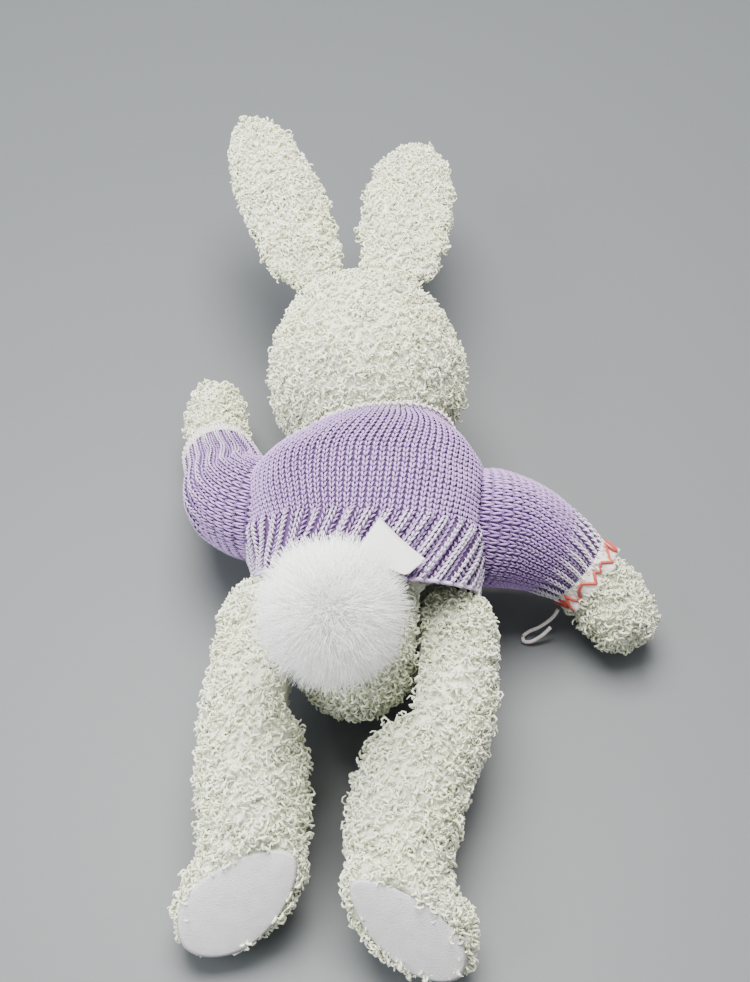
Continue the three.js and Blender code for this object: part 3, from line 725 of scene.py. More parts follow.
class Skin:
    """A tube of cloth as a table of points, read by turns round it and by the share along it. Both are even
    in length: the table is worked out again at the angles and shares that the average spacing gives."""

    def __init__(self, shape):
        even_down, even_across = np.linspace(0, 1, SKIN_ROWS + 1), np.linspace(0, 1, SKIN_COLUMNS + 1)
        share, angle = even_down[:, None], np.linspace(0, 2 * np.pi, SKIN_COLUMNS + 1)[None, :]
        rough = shape(angle, share)
        gap = np.linalg.norm(np.diff(rough, axis=1), axis=-1)
        around = np.concatenate([[0], np.cumsum(gap.mean(0))])
        gap_along = np.linalg.norm(np.diff(rough, axis=0), axis=-1)
        length = np.concatenate([[0], np.cumsum(gap_along.mean(1))])
        even_angle = np.interp(even_across, around / around[-1], angle[0])[None, :]
        even_share = np.interp(even_down, length / length[-1], share[:, 0])[:, None]
        self.table = shape(even_angle, even_share)
        self.length = length[-1]
        self.girth = gap.sum(1).mean()

    def at(self, turns, share):
        """Even interpolation between the four nearest points of the table."""
        across = (np.asarray(turns) % 1) * SKIN_COLUMNS
        down = np.clip(share, 0, 1) * SKIN_ROWS
        i, j = np.minimum(down.astype(int), SKIN_ROWS - 1), np.minimum(across.astype(int), SKIN_COLUMNS - 1)
        a, b = (down - i)[..., None], (across - j)[..., None]
        top = self.table[i, j] * (1 - b) + self.table[i, j + 1] * b
        low = self.table[i + 1, j] * (1 - b) + self.table[i + 1, j + 1] * b
        inside = top * (1 - a) + low * a
        past = (np.asarray(share) - np.clip(share, 0, 1))[..., None] * self.length
        return inside + past * unit(self.table[i + 1, j] - self.table[i, j])

    def outward(self, turns, share):
        """The direction square to the cloth: across both of its directions, and away from the tube's middle
        at four probes half-way along it."""
        share = np.clip(share, 0.02, 0.98)
        round_it = self.at(turns + 0.006, share) - self.at(turns - 0.006, share)
        along = self.at(turns, share + 0.015) - self.at(turns, share - 0.015)
        normal = unit(np.cross(round_it, along))
        middle = self.table[SKIN_ROWS // 2].mean(0)
        half, past_half = np.full(4, 0.5), np.full(4, 0.52)
        probe = self.at(PROBES, half)
        beside, below = self.at(PROBES + 0.006, half) - probe, self.at(PROBES, past_half) - probe
        return normal * np.sign(dot(np.cross(beside, below), probe - middle).sum())

    def on(self, turns, share, height):
        return self.at(turns, share) + self.outward(turns, share) * np.asarray(height)[..., None]


STRAND = {"points": 4, "sides": 3}  # A strand of one stitch


def stitches(name, skin, wales, courses, keep, relief, white, lean=None, seed=3):
    """Plain knitting. Each stitch is two strands that start together at the foot of a V, spread to either
    side of their wale and end under the next course. relief gives the cloth's own height by wale and
    course, white how far the yarn is white (its own white edging, and a painted highlight on rib crests),
    and lean how many wales the stitch is moved. A strand's height, thickness and tone follow the sine of
    its own share, cut short at both ends, so its tone is a painted highlight at its middle and painted
    shade at its ends."""
    wale, course, side = np.meshgrid(np.arange(wales), np.arange(*courses), (-1, 1), indexing="ij")
    wale, course, side = wale.ravel() + 0.5, course.ravel().astype(float), side.ravel()
    total = courses[1]
    t = np.linspace(0, 1, STRAND["points"])
    crown = np.sin(np.pi * (0.1 + 0.8 * t))
    chance = np.random.default_rng(seed)
    spread = side[:, None] * (0.06 + 0.29 * t)
    along = course[:, None] + 1.1 - 1.2 * t + chance.uniform(-0.07, 0.07, len(wale))[:, None]
    at_wale = wale[:, None] + spread + chance.uniform(-0.04, 0.04, len(wale))[:, None]
    if lean is not None:
        at_wale = at_wale + lean(along)
    turns, share = at_wale / wales, along / total
    kept = keep(skin.at(turns[:, 1], share[:, 1]))
    turns, share, wale, course, side = turns[kept], share[kept], wale[kept], course[kept], side[kept]
    half = 0.5 / wales
    beside = skin.at(turns[:, 1] + half, share[:, 1]) - skin.at(turns[:, 1] - half, share[:, 1])
    wide = np.linalg.norm(beside, axis=1)
    arch = 0.85 * crown - 0.4
    own = turns * wales - (0 if lean is None else lean(share * total))
    height = arch + relief(own, share * total)
    lines = skin.on(turns, share, height)
    thick = np.clip(0.19 * wide, 0.3, 0.58)[:, None] * (0.45 + 0.55 * crown)
    shapes = lifted(tubes(lines, skin.outward(turns, share), thick, STRAND["sides"], flat=0.95))
    # Painted highlight and shade: the tone follows the strand's crown, highest at its raised middle and lowest at its
    # tucked ends.
    tone = round_ring(np.clip(0.95 * crown - 0.1 + chance.normal(0, 0.09, len(wale))[:, None], 0, 1))
    edged = white(wale, course, side)[:, None, None] + 0 * tone
    faces = tube_faces(len(wale), STRAND["points"], STRAND["sides"])
    return new_piece(name, shapes, faces, look("lilac_yarn"), tone=tone, white=edged)


GROUND = {"rings": 48, "around": 144, "depth": 1.15, "wall": 0.7}


def cloth_tube(name, skin, relief, wales, total, lean=None):
    """The ground between the strands: the skin itself, a little under them, as one open tube, coloured dark as painted
    shade in the gaps.
    """
    rings, around = GROUND["rings"], GROUND["around"]
    turns, share = np.broadcast_arrays(np.arange(around)[None, :] / around, np.linspace(0.0, 1.0, rings)[:, None])
    moved = turns * wales - (0 if lean is None else lean(share * total))
    points = lifted(skin.on(turns, share, relief(moved, share * total) - GROUND["depth"]))
    piece = new_piece(name, points, tube_faces(1, rings, around)[0], look("lilac_ground"))
    return thickened(piece, GROUND["wall"], offset=-1)


def thread(name, turns, share, height, skin, radius, material, sides=5, **attributes):
    """One sewn thread that follows a line round the skin and closes on itself."""
    line = lifted(skin.on(turns, share, height), radius + 0.1)
    shape = tubes(line[None], skin.outward(turns, share)[None], np.full((1, len(line)), radius), sides)
    spread = {key: np.full(shape.shape[:-1], value) for key, value in attributes.items()}
    return new_piece(name, shape, tube_faces(1, len(line), sides, closed=True), material, **spread)


def overlock(name, skin, edge, past, loops, steps, lift, radius):
    """A wrapped edge: one thread whose share along the skin swings over the edge by the cosine of its
    turns, loops times in all, and whose height rises by a sine twice in each loop."""
    turns = np.linspace(0, 1, steps, endpoint=False)
    share = edge + (past + 1.5 * np.cos(2 * np.pi * loops * turns)) / skin.length
    height = lift + 0.5 * np.sin(4 * np.pi * loops * turns)
    return thread(name, turns, share, height, skin, radius, look("cream_thread"))


def flare(turns, past):
    """How far a cuff stands out, past millimetres beyond its edge: the distance times a sum of two sines
    of the turns, which ruffles it."""
    ruffle = np.sin(2 * np.pi * 8 * turns + 1) + 0.5 * np.sin(2 * np.pi * 13 * turns)
    return np.clip(past + 1.0, 0, 9) * (0.2 + 0.22 * ruffle)


JUMPER_RIGHT = profile([(-40, 37), (-18, 40.4), (0, 42.6), (12, 43), (24, 39.4), (34, 32), (42, 25.4), (52, 22)])
JUMPER_LEFT = profile([(-40, 32), (-18, 37.5), (-6, 43), (6, 47), (14, 47), (24, 42.6), (34, 33), (42, 25.6), (52, 22)])
JUMPER_UP = profile([(-40, 40), (-18, 40.5), (0, 40.5), (18, 39.5), (32, 35.4), (42, 28), (52, 24)])
JUMPER_MIDDLE = profile([(-50, 38), (0, 39), (60, 42)])
JUMPER_SIDES = (-48.0, 41.4)


def jumper_shape(angle, share):
    """Round the trunk: the squared-off cosine and sine of the angle times the half-widths at each distance
    along the trunk, flattened at the armholes and on the table, from the collar's plane to the hem's."""
    wide, high = squared(np.cos(angle), SQUARE), squared(np.sin(angle), SQUARE)

    def section(y):
        x = np.where(wide < 0, JUMPER_LEFT(y), JUMPER_RIGHT(y)) * wide
        limit = np.where(x < 0, -JUMPER_SIDES[0], JUMPER_SIDES[1])
        x = np.sign(x) * (limit - 1.5 * np.logaddexp(0, (limit - np.abs(x)) / 1.5))
        ramp = np.clip((y - 12) / 22, 0, 1)
        x = x + 4.5 * ramp * ramp * (3 - 2 * ramp)
        return x, rested(JUMPER_MIDDLE(y) + JUMPER_UP(y) * high)

    collar, hem = 40.0 + 0 * angle, -30.0 + 0 * angle
    for _ in range(8):
        collar = 40.1 + (section(collar)[0] - 0.7) * math.tan(math.radians(NECK_TURN))
        hem = HEM["y"] - np.maximum(0, section(hem)[1] - HEM["z"]) * math.tan(math.radians(HEM["lean"]))
    y = collar + (hem - collar) * share
    x, z = section(y)
    return rows(x, y, z)


def under_jumper(points):
    """Whether points lie well inside the jumper's body: their shares of its half-width and half-height,
    each to the power of its squareness, add up to under 0.8."""
    x, y, z = points.T
    left, right = np.minimum(JUMPER_LEFT(y), -JUMPER_SIDES[0]), np.minimum(JUMPER_RIGHT(y), JUMPER_SIDES[1])
    across, up = np.abs(x) / np.where(x < 0, left, right), np.abs(z - JUMPER_MIDDLE(y)) / JUMPER_UP(y)
    return across**SQUARE + up**SQUARE < 0.8


def sleeve_shape(arm):
    """Round an arm's path: the cosine and sine of the angle times the sleeve's radius, drawn in a little
    where it is sewn to the armhole, and flat on the table."""
    path = Path(arm["points"])
    start = float(np.interp(38.4, np.abs(path.points[:, 0]), path.shares))

    def shape(angle, share):
        at = start + (arm["cuff"] - start) * share
        _, side, top = path.frame(at)
        radius = arm["sleeve"](at) * (1 - 0.05 * np.exp(-((share * 16) ** 2)))
        points = path.at(at) + radius[..., None] * (np.cos(angle)[..., None] * side + np.sin(angle)[..., None] * top)
        points[..., 2] = rested(points[..., 2])
        return points

    return shape


# Operators


def colour_setting(name, description, default):
    return FloatVectorProperty(name=name, description=description, subtype="COLOR", size=3, min=0, max=1,
                               default=default)


class RabbitPlush(bpy.types.PropertyGroup):
    """Pile of the plush cover and colours of the rabbit."""

    colour: colour_setting("Plush", "Colour of the curled pile", (0.87, 0.905, 0.72))
    suede: colour_setting("Suede", "Colour of the soles and ear linings", (0.76, 0.73, 0.74))
    curl: FloatProperty(name="Curl radius", description="Radius of one curl of the pile, in millimetres",
                        default=1.12, min=0.5, max=4)
    strand: FloatProperty(name="Strand radius", description="Radius of a curl's strand, in millimetres",
                          default=0.5, min=0.1, max=1.5)


class RabbitJumper(bpy.types.PropertyGroup):
    """Gauge and colours of the knitted jumper."""

    colour: colour_setting("Lilac", "Colour of the jumper's yarn", (0.28, 0.13, 0.42))
    # The pale ply's colour is mixed in where a strand's tone is high, so it also serves as the painted highlight on
    # each strand's raised middle.
    pale: colour_setting("Pale lilac", "Colour of the yarn's pale ply", (0.65, 0.475, 0.79))
    cream: colour_setting("Cream", "Colour of the edging thread", (0.84, 0.78, 0.73))
    red: colour_setting("Red", "Colour of the zigzag stitches", (0.52, 0.06, 0.035))
    wales: IntProperty(name="Wales", description="Columns of stitches round the body", default=105, min=21, max=200)
    courses: IntProperty(name="Courses", description="Rows of plain stitches above the hem", default=27, min=8,
                         max=80)
    rib: IntProperty(name="Rib", description="Rows of the ribbed hem", default=12, min=2, max=20)


class RabbitTail(bpy.types.PropertyGroup):
    """The long fur of the tail."""

    radius: FloatProperty(name="Radius", description="Reach of the fur, in millimetres", default=25.5, min=10, max=40)
    fibres: IntProperty(name="Fibres", description="Fibres in each of the fur's two layers", default=7400, min=500,
                        max=16000)
    colour: colour_setting("Fur", "Colour of the fur", (0.97, 0.97, 0.95))


class RabbitStage(bpy.types.PropertyGroup):
    """The table and the light."""

    table: colour_setting("Table", "Colour of the table", (0.10, 0.108, 0.113))
    light: FloatProperty(name="Light", description="Power of the overhead light", subtype="POWER", default=34,
                         min=0, max=500)


class RABBIT_OT_stage(bpy.types.Operator):
    """A plain grey table, a pale room, soft light from above and from a window, and the camera."""

    bl_idname = "rabbit.stage"
    bl_label = "Table, light and camera"

    def execute(self, context):
        stage = context.scene.rabbit_stage
        scene = context.scene
        x, y = np.meshgrid(np.linspace(-3000, 3000, 2), np.linspace(-3000, 5000, 2))
        floor = new_piece("table", rows(x, y, 0 * x).reshape(-1, 3), np.array([[0, 1, 3, 2]]), look("table_top"),
                          smooth=False)
        world = bpy.data.worlds.new("room")
        world.use_nodes = True
        world.node_tree.nodes["Background"].inputs["Color"].default_value = (0.94, 0.96, 1.0, 1)
        world.node_tree.nodes["Background"].inputs["Strength"].default_value = 0.78
        scene.world = world
        for name, at, aim, size, power, colour in (
            ("overhead", (-80, 260, 950), (0, 0, 20), 700, stage.light, (1.0, 0.98, 0.95)),
            ("window", (-900, -500, 700), (0, 0, 30), 800, stage.light * 0.5, (0.92, 0.96, 1.0)),
        ):
            lamp = bpy.data.lights.new(name, "AREA")
            lamp.size, lamp.energy, lamp.color = size * MM, power, colour
            holder = bpy.data.objects.new(name, lamp)
            scene.collection.objects.link(holder)
            start, end = Vector(place(at)[0]), Vector(place(aim)[0])
            holder.location = start
            holder.rotation_euler = (end - start).to_track_quat("-Z", "Y").to_euler()
        camera = bpy.data.cameras.new("camera")
        camera.lens, camera.sensor_width, camera.clip_start = 55, 36, 0.02
        holder = bpy.data.objects.new("camera", camera)
        scene.collection.objects.link(holder)
        turn, fall = math.radians(5.5), math.radians(52)
        aim = Vector((-math.sin(turn) * math.cos(fall), math.cos(turn) * math.cos(fall), -math.sin(fall)))
        holder.location = place((33.4, -323.1, 486.0))[0]
        holder.rotation_euler = aim.to_track_quat("-Z", "Y").to_euler()
        scene.camera = holder
        return {"FINISHED"}


YARN = {
    "radius": 0.7,
    "route": [(72.2, -4.6, 12.4), (70.7, -6.4, 10.2), (68.0, -7.8, 7.2), (65.0, -8.6, 4.4), (62.0, -9.2, 2.4),
              (60.0, -10.8, 1.3), (60.4, -12.8, 1.2), (62.6, -13.4, 2.0), (65.6, -12.6, 4.0), (68.2, -11.4, 6.4),
              (69.8, -10.4, 8.4)],
}


class RABBIT_OT_yarn_end(bpy.types.Operator):
    """The loose end of edging yarn at the right cuff, doubled back on itself."""

    bl_idname = "rabbit.yarn_end"
    bl_label = "Loose yarn end"

    def execute(self, context):
        path = Path(YARN["route"])
        line = path.at(np.linspace(0, 1, 60))
        up = np.broadcast_to((0.3, 0.9, 0.2), line.shape)
        shape = tubes(line[None], up[None], np.full((1, 60), YARN["radius"]), 8)
        yarn = new_piece("cuff_yarn", shape, tube_faces(1, 60, 8), look("cream_thread"))
        attach(yarn, "right_arm", "binding", "right_cuff_yarn_end")
        place(YARN["route"][0])[0]
        place(line).tolist()
        return {"FINISHED"}


class RABBIT_OT_head(bpy.types.Operator):
    """The stuffed head, its curled pile, the eyes, the nose and the stitched mouth."""

    bl_idname = "rabbit.head"
    bl_label = "Head"

    def execute(self, context):
        ground = stuffed("head_plush", head_body(INSET["head"]), [FLOOR, neck_plane(0.6, -1)], voxel=4.3, seed=11)
        attach(ground, "head", "plush", "head_cover", "head_stuffing")
        keep = lambda points: (from_head(points)[:, 1] > 1.5) & (points[:, 2] > 1.2)
        for layer in pile("head", ground, keep, seed=12):
            attach(layer, "head", "plush")
        for name, side in (("left", -1), ("right", 1)):
            axis = unit(np.array((side * 18 * 0.022, 0.3, -1)))
            eye = ball(np.array((side * 18, 56, -22.2)) + 3.6 * axis, (4, 4, 4), around=32, rings=20)
            made = new_piece(f"{name}_eye_bead", on_head(eye), tube_faces(1, 20, 32), look("eye_black"))
            attach(made, "head", "eye_plastic", f"{name}_eye")
        dress(frame["nodes"]["nose"], look("nose_thread"))
        t = np.linspace(0, 1, 24)
        stem = rows(0 * t, 46 - 9 * t)
        smile = rows(7 * np.sin(np.pi * (t - 0.5)), 37 - 3.2 * np.sin(np.pi * t) + 1.6)
        for name, line in (("mouth_stem", stem), ("mouth_smile", smile)):
            bulge = 1 - (line[:, 0] / 22) ** 2 - ((line[:, 1] - 33) / 21) ** 2
            line = rows(line[:, 0], line[:, 1], np.maximum(-24 - 20 * np.sqrt(np.maximum(bulge, 0)), -42.2))
            down = np.broadcast_to((0, 0, -1.0), line.shape)
            shape = tubes(line[None], down[None], np.full((1, 24), 0.55), 6)
            made = new_piece(name, on_head(shape), tube_faces(1, 24, 6), look("nose_thread"))
            attach(made, "head", "nose_thread")
        return {"FINISHED"}


class RABBIT_OT_ears(bpy.types.Operator):
    """Two long ears: curled plush on the back and round the edge, suede lining below."""

    bl_idname = "rabbit.ears"
    bl_label = "Ears"

    def execute(self, context):
        for seed, (name, ear) in enumerate(EARS.items()):
            path = ear_path(ear)
            across = lambda share: EAR_WIDE(share) + ear["fuller"] - INSET["ear"]
            up = lambda share: EAR_THICK(share) - INSET["ear"]
            body = on_ear(ear, carried(path, across, up, blunt=2.6))
            ground = stuffed(f"{name}_ear_plush", [body], [FLOOR], voxel=3.6, limit=0.8, seed=21 + seed)
            local = lambda points: from_ear(ear, points)
            keep = lambda points: (local(points)[:, 2] > -2.0) & (local(points)[:, 1] > -2)
            layers = pile(f"{name}_ear", ground, keep, seed=31 + seed)
            angle, share = np.meshgrid(np.radians(np.linspace(202, 338, 24)), np.linspace(0.16, 0.97, 40))
            rounding = (1 - np.abs(1 - 2 * share) ** 2.6) ** (1 / 2.6)
            _, side, top = path.frame(share)
            wide = ((EAR_WIDE(share) - 1.5) * rounding * np.cos(angle))[..., None] * side
            high = ((EAR_THICK(share) - 0.5) * rounding * np.sin(angle))[..., None] * top
            lining = new_piece(f"{name}_ear_suede", on_ear(ear, path.at(share) + wide + high), sheet_faces(40, 24),
                               look("white_suede"))
            thickened(lining, 0.6)
            start, end = place(on_ear(ear, np.array((0, -2.0, 0))))[0], place(on_ear(ear, np.array((0, 18.0, 0))))[0]
            for piece in (ground, *layers, lining):
                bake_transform(piece)
                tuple(start)
                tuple(end)
                "suede" if piece == lining else "plush"
            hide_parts(f"{name}_ear_back")
            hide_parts(f"{name}_ear_lining")
        return {"FINISHED"}


def nearest_share(path, points):
    """The share along a path of the nearest of 200 places on it, for each point."""
    shares = np.linspace(0, 1, 200)
    far = np.linalg.norm(points[:, None, :] - path.at(shares)[None, :, :], axis=-1)
    return shares[far.argmin(1)]


class RABBIT_OT_arms(bpy.types.Operator):
    """Two stuffed arms. The curled pile starts at the cuff."""

    bl_idname = "rabbit.arms"
    bl_label = "Arms"

    def execute(self, context):
        for seed, (name, arm) in enumerate(ARMS.items()):
            path = Path(arm["points"])
            girth = lambda share: arm["arm"](share) - INSET["arm"]
            root = ((arm["side"] * 40.5, 0, 0), (-arm["side"], 0, 0))
            ground = stuffed(f"{name}_arm_plush", [carried(path, girth, girth, blunt=5)], [FLOOR, root],
                             voxel=3.6, limit=0.8, seed=41 + seed)
            attach(ground, f"{name}_arm", "plush", f"{name}_arm_cover", f"{name}_arm_stuffing")
            keep = lambda points: (nearest_share(path, points) > arm["cuff"] - 0.03) & (points[:, 2] > 1.0)
            for layer in pile(f"{name}_paw", ground, keep, seed=51 + seed, grey=arm["grey"]):
                attach(layer, f"{name}_arm", "plush")
        return {"FINISHED"}


class RABBIT_OT_legs(bpy.types.Operator):
    """Two stuffed legs with round thighs and suede soles."""

    bl_idname = "rabbit.legs"
    bl_label = "Legs and soles"

    def execute(self, context):
        for seed, (name, leg) in enumerate(LEGS.items()):
            side = leg["side"]
            middle, forwards, beside, out = sole_frame(leg)
            width = SOLE["width"] * leg["narrow"]
            path = Path(leg["points"])
            across = lambda share: leg["across"](share) - INSET["leg"]
            up = lambda share: leg["up"](share) - INSET["leg"]
            shank = carried(path, across, up, blunt=2.6)
            round_thigh = HIP["radius"] - INSET["leg"]
            thigh = ball((side * 33, HIP["y"], HIP["z"]), (15.9, round_thigh, round_thigh))
            size = np.array((SOLE["length"] + SOLE["rim"], SOLE["width"] + SOLE["rim"], SOLE["depth"]))
            size = size - INSET["leg"]
            foot = ball(middle - out * SOLE["depth"] * 0.45, size, np.stack([forwards, beside, out], 1))
            inner = ((side * 0.9, 0, 0), (-side, 0, 0))
            ground = stuffed(f"{name}_leg_plush", [shank, thigh, foot], [FLOOR, (middle, out), inner], seed=61 + seed)
            points = points_of(ground)
            near = np.hypot(points[:, 1] - HIP["y"], points[:, 2] - HIP["z"]) < HIP["clear"]
            points[:, 0] = np.where(near, side * np.maximum(side * points[:, 0], HIP["x"] + 0.9), points[:, 0])
            move_points(ground, points)
            attach(ground, f"{name}_leg", "plush", f"{name}_leg_cover", f"{name}_leg_stuffing")

            def keep(points):
                along, over = (points - middle) @ forwards, (points - middle) @ beside
                rise = (points - middle) @ out
                on_sole = (rise > -1.2) & (np.hypot(along / SOLE["length"], over / width) < 0.94)
                hidden = (np.abs(points[:, 0]) < HIP["x"] + 1.6) & (points[:, 1] > HIP["y"] - HIP["clear"])
                return ~on_sole & ~hidden & (points[:, 2] > 1.0)

            for layer in pile(f"{name}_leg", ground, keep, seed=71 + seed):
                attach(layer, f"{name}_leg", "plush")
            rim, angle = np.meshgrid(np.linspace(1, 0.02, 16), 2 * np.pi * np.arange(72) / 72, indexing="ij")
            narrowed = np.sign(np.sin(angle)) * np.abs(np.sin(angle)) ** 1.15 * (1 + 0.2 * np.cos(angle))
            wide = rim * width * 1.04 * narrowed
            long = rim * SOLE["length"] * 1.03 * np.cos(angle)
            dome = SOLE["crown"] * np.sqrt(1 - (rim * 0.94) ** 2) - 0.5
            pad = middle + long[..., None] * forwards + wide[..., None] * beside + dome[..., None] * out
            sole = new_piece(f"{name}_sole_suede", lifted(pad, 0.1), tube_faces(1, 16, 72), look("white_suede"))
            attach(sole, f"{name}_leg", "suede", f"{name}_foot_pad")
        return {"FINISHED"}


class RABBIT_OT_trunk(bpy.types.Operator):
    """The stuffed trunk. Its curled pile shows only at the seat, below the jumper."""

    bl_idname = "rabbit.trunk"
    bl_label = "Trunk"

    def execute(self, context):
        across = profile([(-67, 12), (-60, 17.5), (-50, 23), (-38, 26), (-24, 28), (-12, 33), (0, 39.3), (12, 40.6),
                          (24, 38.6), (34, 31), (44, 23), (50, 20)])
        up = profile([(-67, 16), (-60, 23), (-50, 29), (-38, 32.5), (-20, 34), (0, 35.5), (18, 35), (32, 30),
                      (44, 24), (50, 20)])
        path = Path([(0, -65.4, 33), (0, -38, 36), (0, 0, 39), (0, 50, 42)])
        by = lambda size: lambda share: size(path.at(share)[..., 1]) - INSET["trunk"]
        body = carried(path, by(across), by(up), rings=34, around=36, blunt=5, square=SQUARE)
        sides = [((side * 36.0, 0, 0), (side, 0, 0)) for side in (-1, 1)]
        ground = stuffed("trunk_plush", [body], [FLOOR, neck_plane(-1.0, 1), *sides], seed=81)
        points = points_of(ground)
        drop = np.minimum(points[:, 2], HIP["z"]) - HIP["z"]
        near = np.hypot(points[:, 1] - HIP["y"], np.where(points[:, 2] < HIP["z"], 0, points[:, 2] - HIP["z"])) < 20.5
        x = points[:, 0]
        points[:, 0] = np.where(near & (drop <= 0), np.clip(x, 0.9 - HIP["x"], HIP["x"] - 0.9), x)
        move_points(ground, points)
        attach(ground, "trunk", "plush", "trunk_cover", "trunk_stuffing")
        keep = lambda points: (points[:, 1] < -34) & (np.abs(points[:, 0]) < HIP["x"] - 1.4) & (points[:, 2] > 1.0)
        for layer in pile("seat", ground, keep, seed=82):
            attach(layer, "trunk", "plush")
        return {"FINISHED"}


def press_fur(points):
    """Fur that would sink into the seat or the jumper lies on it instead."""
    y = points[..., 1]
    seat = profile([(-67, 49), (-60, 57), (-50, 64), (-38, 68.5), (-20, 71)])(y)
    knit = JUMPER_MIDDLE(y) + JUMPER_UP(y) + 4.4
    top = np.where(y > -44, knit, seat + 1.5)
    top = top - (points[..., 0] / 26) ** 4 * 8
    inside = (points[..., 2] < top) & (np.abs(points[..., 0]) < 34)
    points[..., 2] = np.where(inside, 0.25 * points[..., 2] + 0.75 * top, points[..., 2])
    return points


FUR = {"core": 14.5, "root": 9.5, "locks": 900, "points": 4, "fibre": 0.2}


class RABBIT_OT_tail(bpy.types.Operator):
    """The round tail of long straight fur, gathered in locks, round a stuffed core."""

    bl_idname = "rabbit.tail"
    bl_label = "Tail"

    def execute(self, context):
        tail = context.scene.rabbit_tail
        white = look("tail_fur")
        core = ball(TAIL, np.full(3, FUR["core"]), around=40, rings=26)
        # The core takes a middling tone, darker than the fibres' tips, as painted shade under the fur.
        ground = new_piece("tail_ground", press_fur(core), tube_faces(1, 26, 40), white,
                           tone=np.full(core.shape[:-1], 0.55))
        attach(ground, "trunk", "fur", "tail_fur")
        for layer, (reach, seed) in enumerate(((1.0, 91), (0.9, 92))):
            chance = np.random.default_rng(seed)
            count = tail.fibres
            k = np.arange(count) + 0.5
            z, angle = 1 - 2 * k / count, k * np.pi * (3 - math.sqrt(5))
            outward = rows(np.sqrt(1 - z * z) * np.cos(angle), np.sqrt(1 - z * z) * np.sin(angle), z)
            outward = unit(outward + chance.normal(0, 0.04, (count, 3)))
            locks = unit(chance.normal(size=(FUR["locks"], 3)))
            lock = locks[(outward @ locks.T).argmax(1)]
            tip = unit(0.55 * outward + 0.45 * lock + chance.normal(0, 0.10, (count, 3)))
            length = tail.radius * reach * chance.uniform(0.84, 1.06, count)[:, None]
            start, end = TAIL + FUR["root"] * outward, TAIL + length * tip - rows(0, 0, 1.0)
            bend = TAIL + 0.62 * length * outward + chance.normal(0, 0.5, (count, 3))
            t = np.linspace(0, 1, FUR["points"])[None, :, None]
            lines = (1 - t) ** 2 * start[:, None] + 2 * t * (1 - t) * bend[:, None] + t * t * end[:, None]
            thin = FUR["fibre"] * (1 - 0.75 * t[..., 0] ** 1.5) * chance.uniform(0.7, 1.2, count)[:, None]
            shapes = tubes(press_fur(lines), rows(0.3, 0.2, 1.0), thin, sides=3)
            # Painted shade: each fibre's tone is lowest at its root and rises towards its tip.
            tone = np.clip(0.35 + 0.6 * t[..., 0] + chance.normal(0, 0.15, count)[:, None], 0, 1)
            fur = new_piece(f"tail_fur_{layer + 1}", shapes, tube_faces(count, FUR["points"], 3), white,
                            tone=round_ring(tone))
            attach(fur, "trunk", "fur")
        return {"FINISHED"}


RIB = {"period": 2.5, "lean": 4.6}  # Both in wales: from crest to crest, and how far the hem's rib leans


class RABBIT_OT_jumper(bpy.types.Operator):
    """The jumper's body: plain knitting above a leaning rib, and the overlocked neck edge."""

    bl_idname = "rabbit.jumper"
    bl_label = "Jumper body"

    def execute(self, context):
        gauge = context.scene.rabbit_jumper
        skin = Skin(jumper_shape)
        total = gauge.courses + gauge.rib
        ribbed = lambda course: np.clip((course - gauge.courses + 1) / 2, 0, 1)
        lean = lambda course: RIB["lean"] * np.clip((course - gauge.courses) / gauge.rib, 0, 1.2) ** 1.2

        def relief(wale, course):
            rib = ribbed(course) * (1.7 * np.cos(2 * np.pi * wale / RIB["period"]) + 0.5)
            return rib + 0.35 * np.sin(wale * 0.7 + 1.3) * np.sin(course * 0.5)

        def white(wale, course, side):
            # The rib's yarn is a little white throughout, its own pale plating, and whiter on each crest as a painted
            # highlight.
            crest = np.cos(2 * np.pi * (wale + 0.25 * side) / RIB["period"]) > 0.4
            return ribbed(course) * np.where(crest, 0.52, 0.12)

        def keep(points):
            from_armhole = np.hypot(points[:, 1] - SHOULDER["y"], points[:, 2] - SHOULDER["z"])
            return (np.abs(points[:, 0]) < 37.5) | (from_armhole > 17.5)

        cloth = cloth_tube("jumper_cloth", skin, relief, gauge.wales, total, lean=lean)
        plain_part = stitches("jumper_stitches", skin, gauge.wales, (0, total), keep, relief, white, lean)
        edge = overlock("neck_overlock", skin, 0, past=-0.2, loops=62, steps=720, lift=1.0, radius=0.5)
        rim_turns = np.linspace(0, 1, 300, endpoint=False)
        rim = thread("neck_edge", rim_turns, -1.2 / skin.length + 0 * rim_turns, 0.2 + 0 * rim_turns, skin, 0.85,
                     look("cream_thread"))
        hem_turns = np.linspace(0, 1, 840, endpoint=False)
        hem_wale = hem_turns * gauge.wales - RIB["lean"]
        scallop = np.cos(2 * np.pi * hem_wale / RIB["period"])
        hem = thread("hem_edge", hem_turns, 1 + 0.6 * scallop / skin.length, relief(hem_wale, total) - 0.3, skin, 0.75,
                     look("lilac_yarn"), tone=0.75, white=0.35)
        attach(hem, "trunk", "jumper")
        attach(cloth, "trunk", "jumper", "jumper_body")
        attach(plain_part, "trunk", "jumper")
        attach(edge, "trunk", "binding", "jumper_neck_binding")
        attach(rim, "trunk", "binding")
        return {"FINISHED"}


SLEEVE = {"wales": 50, "course": 2.35}


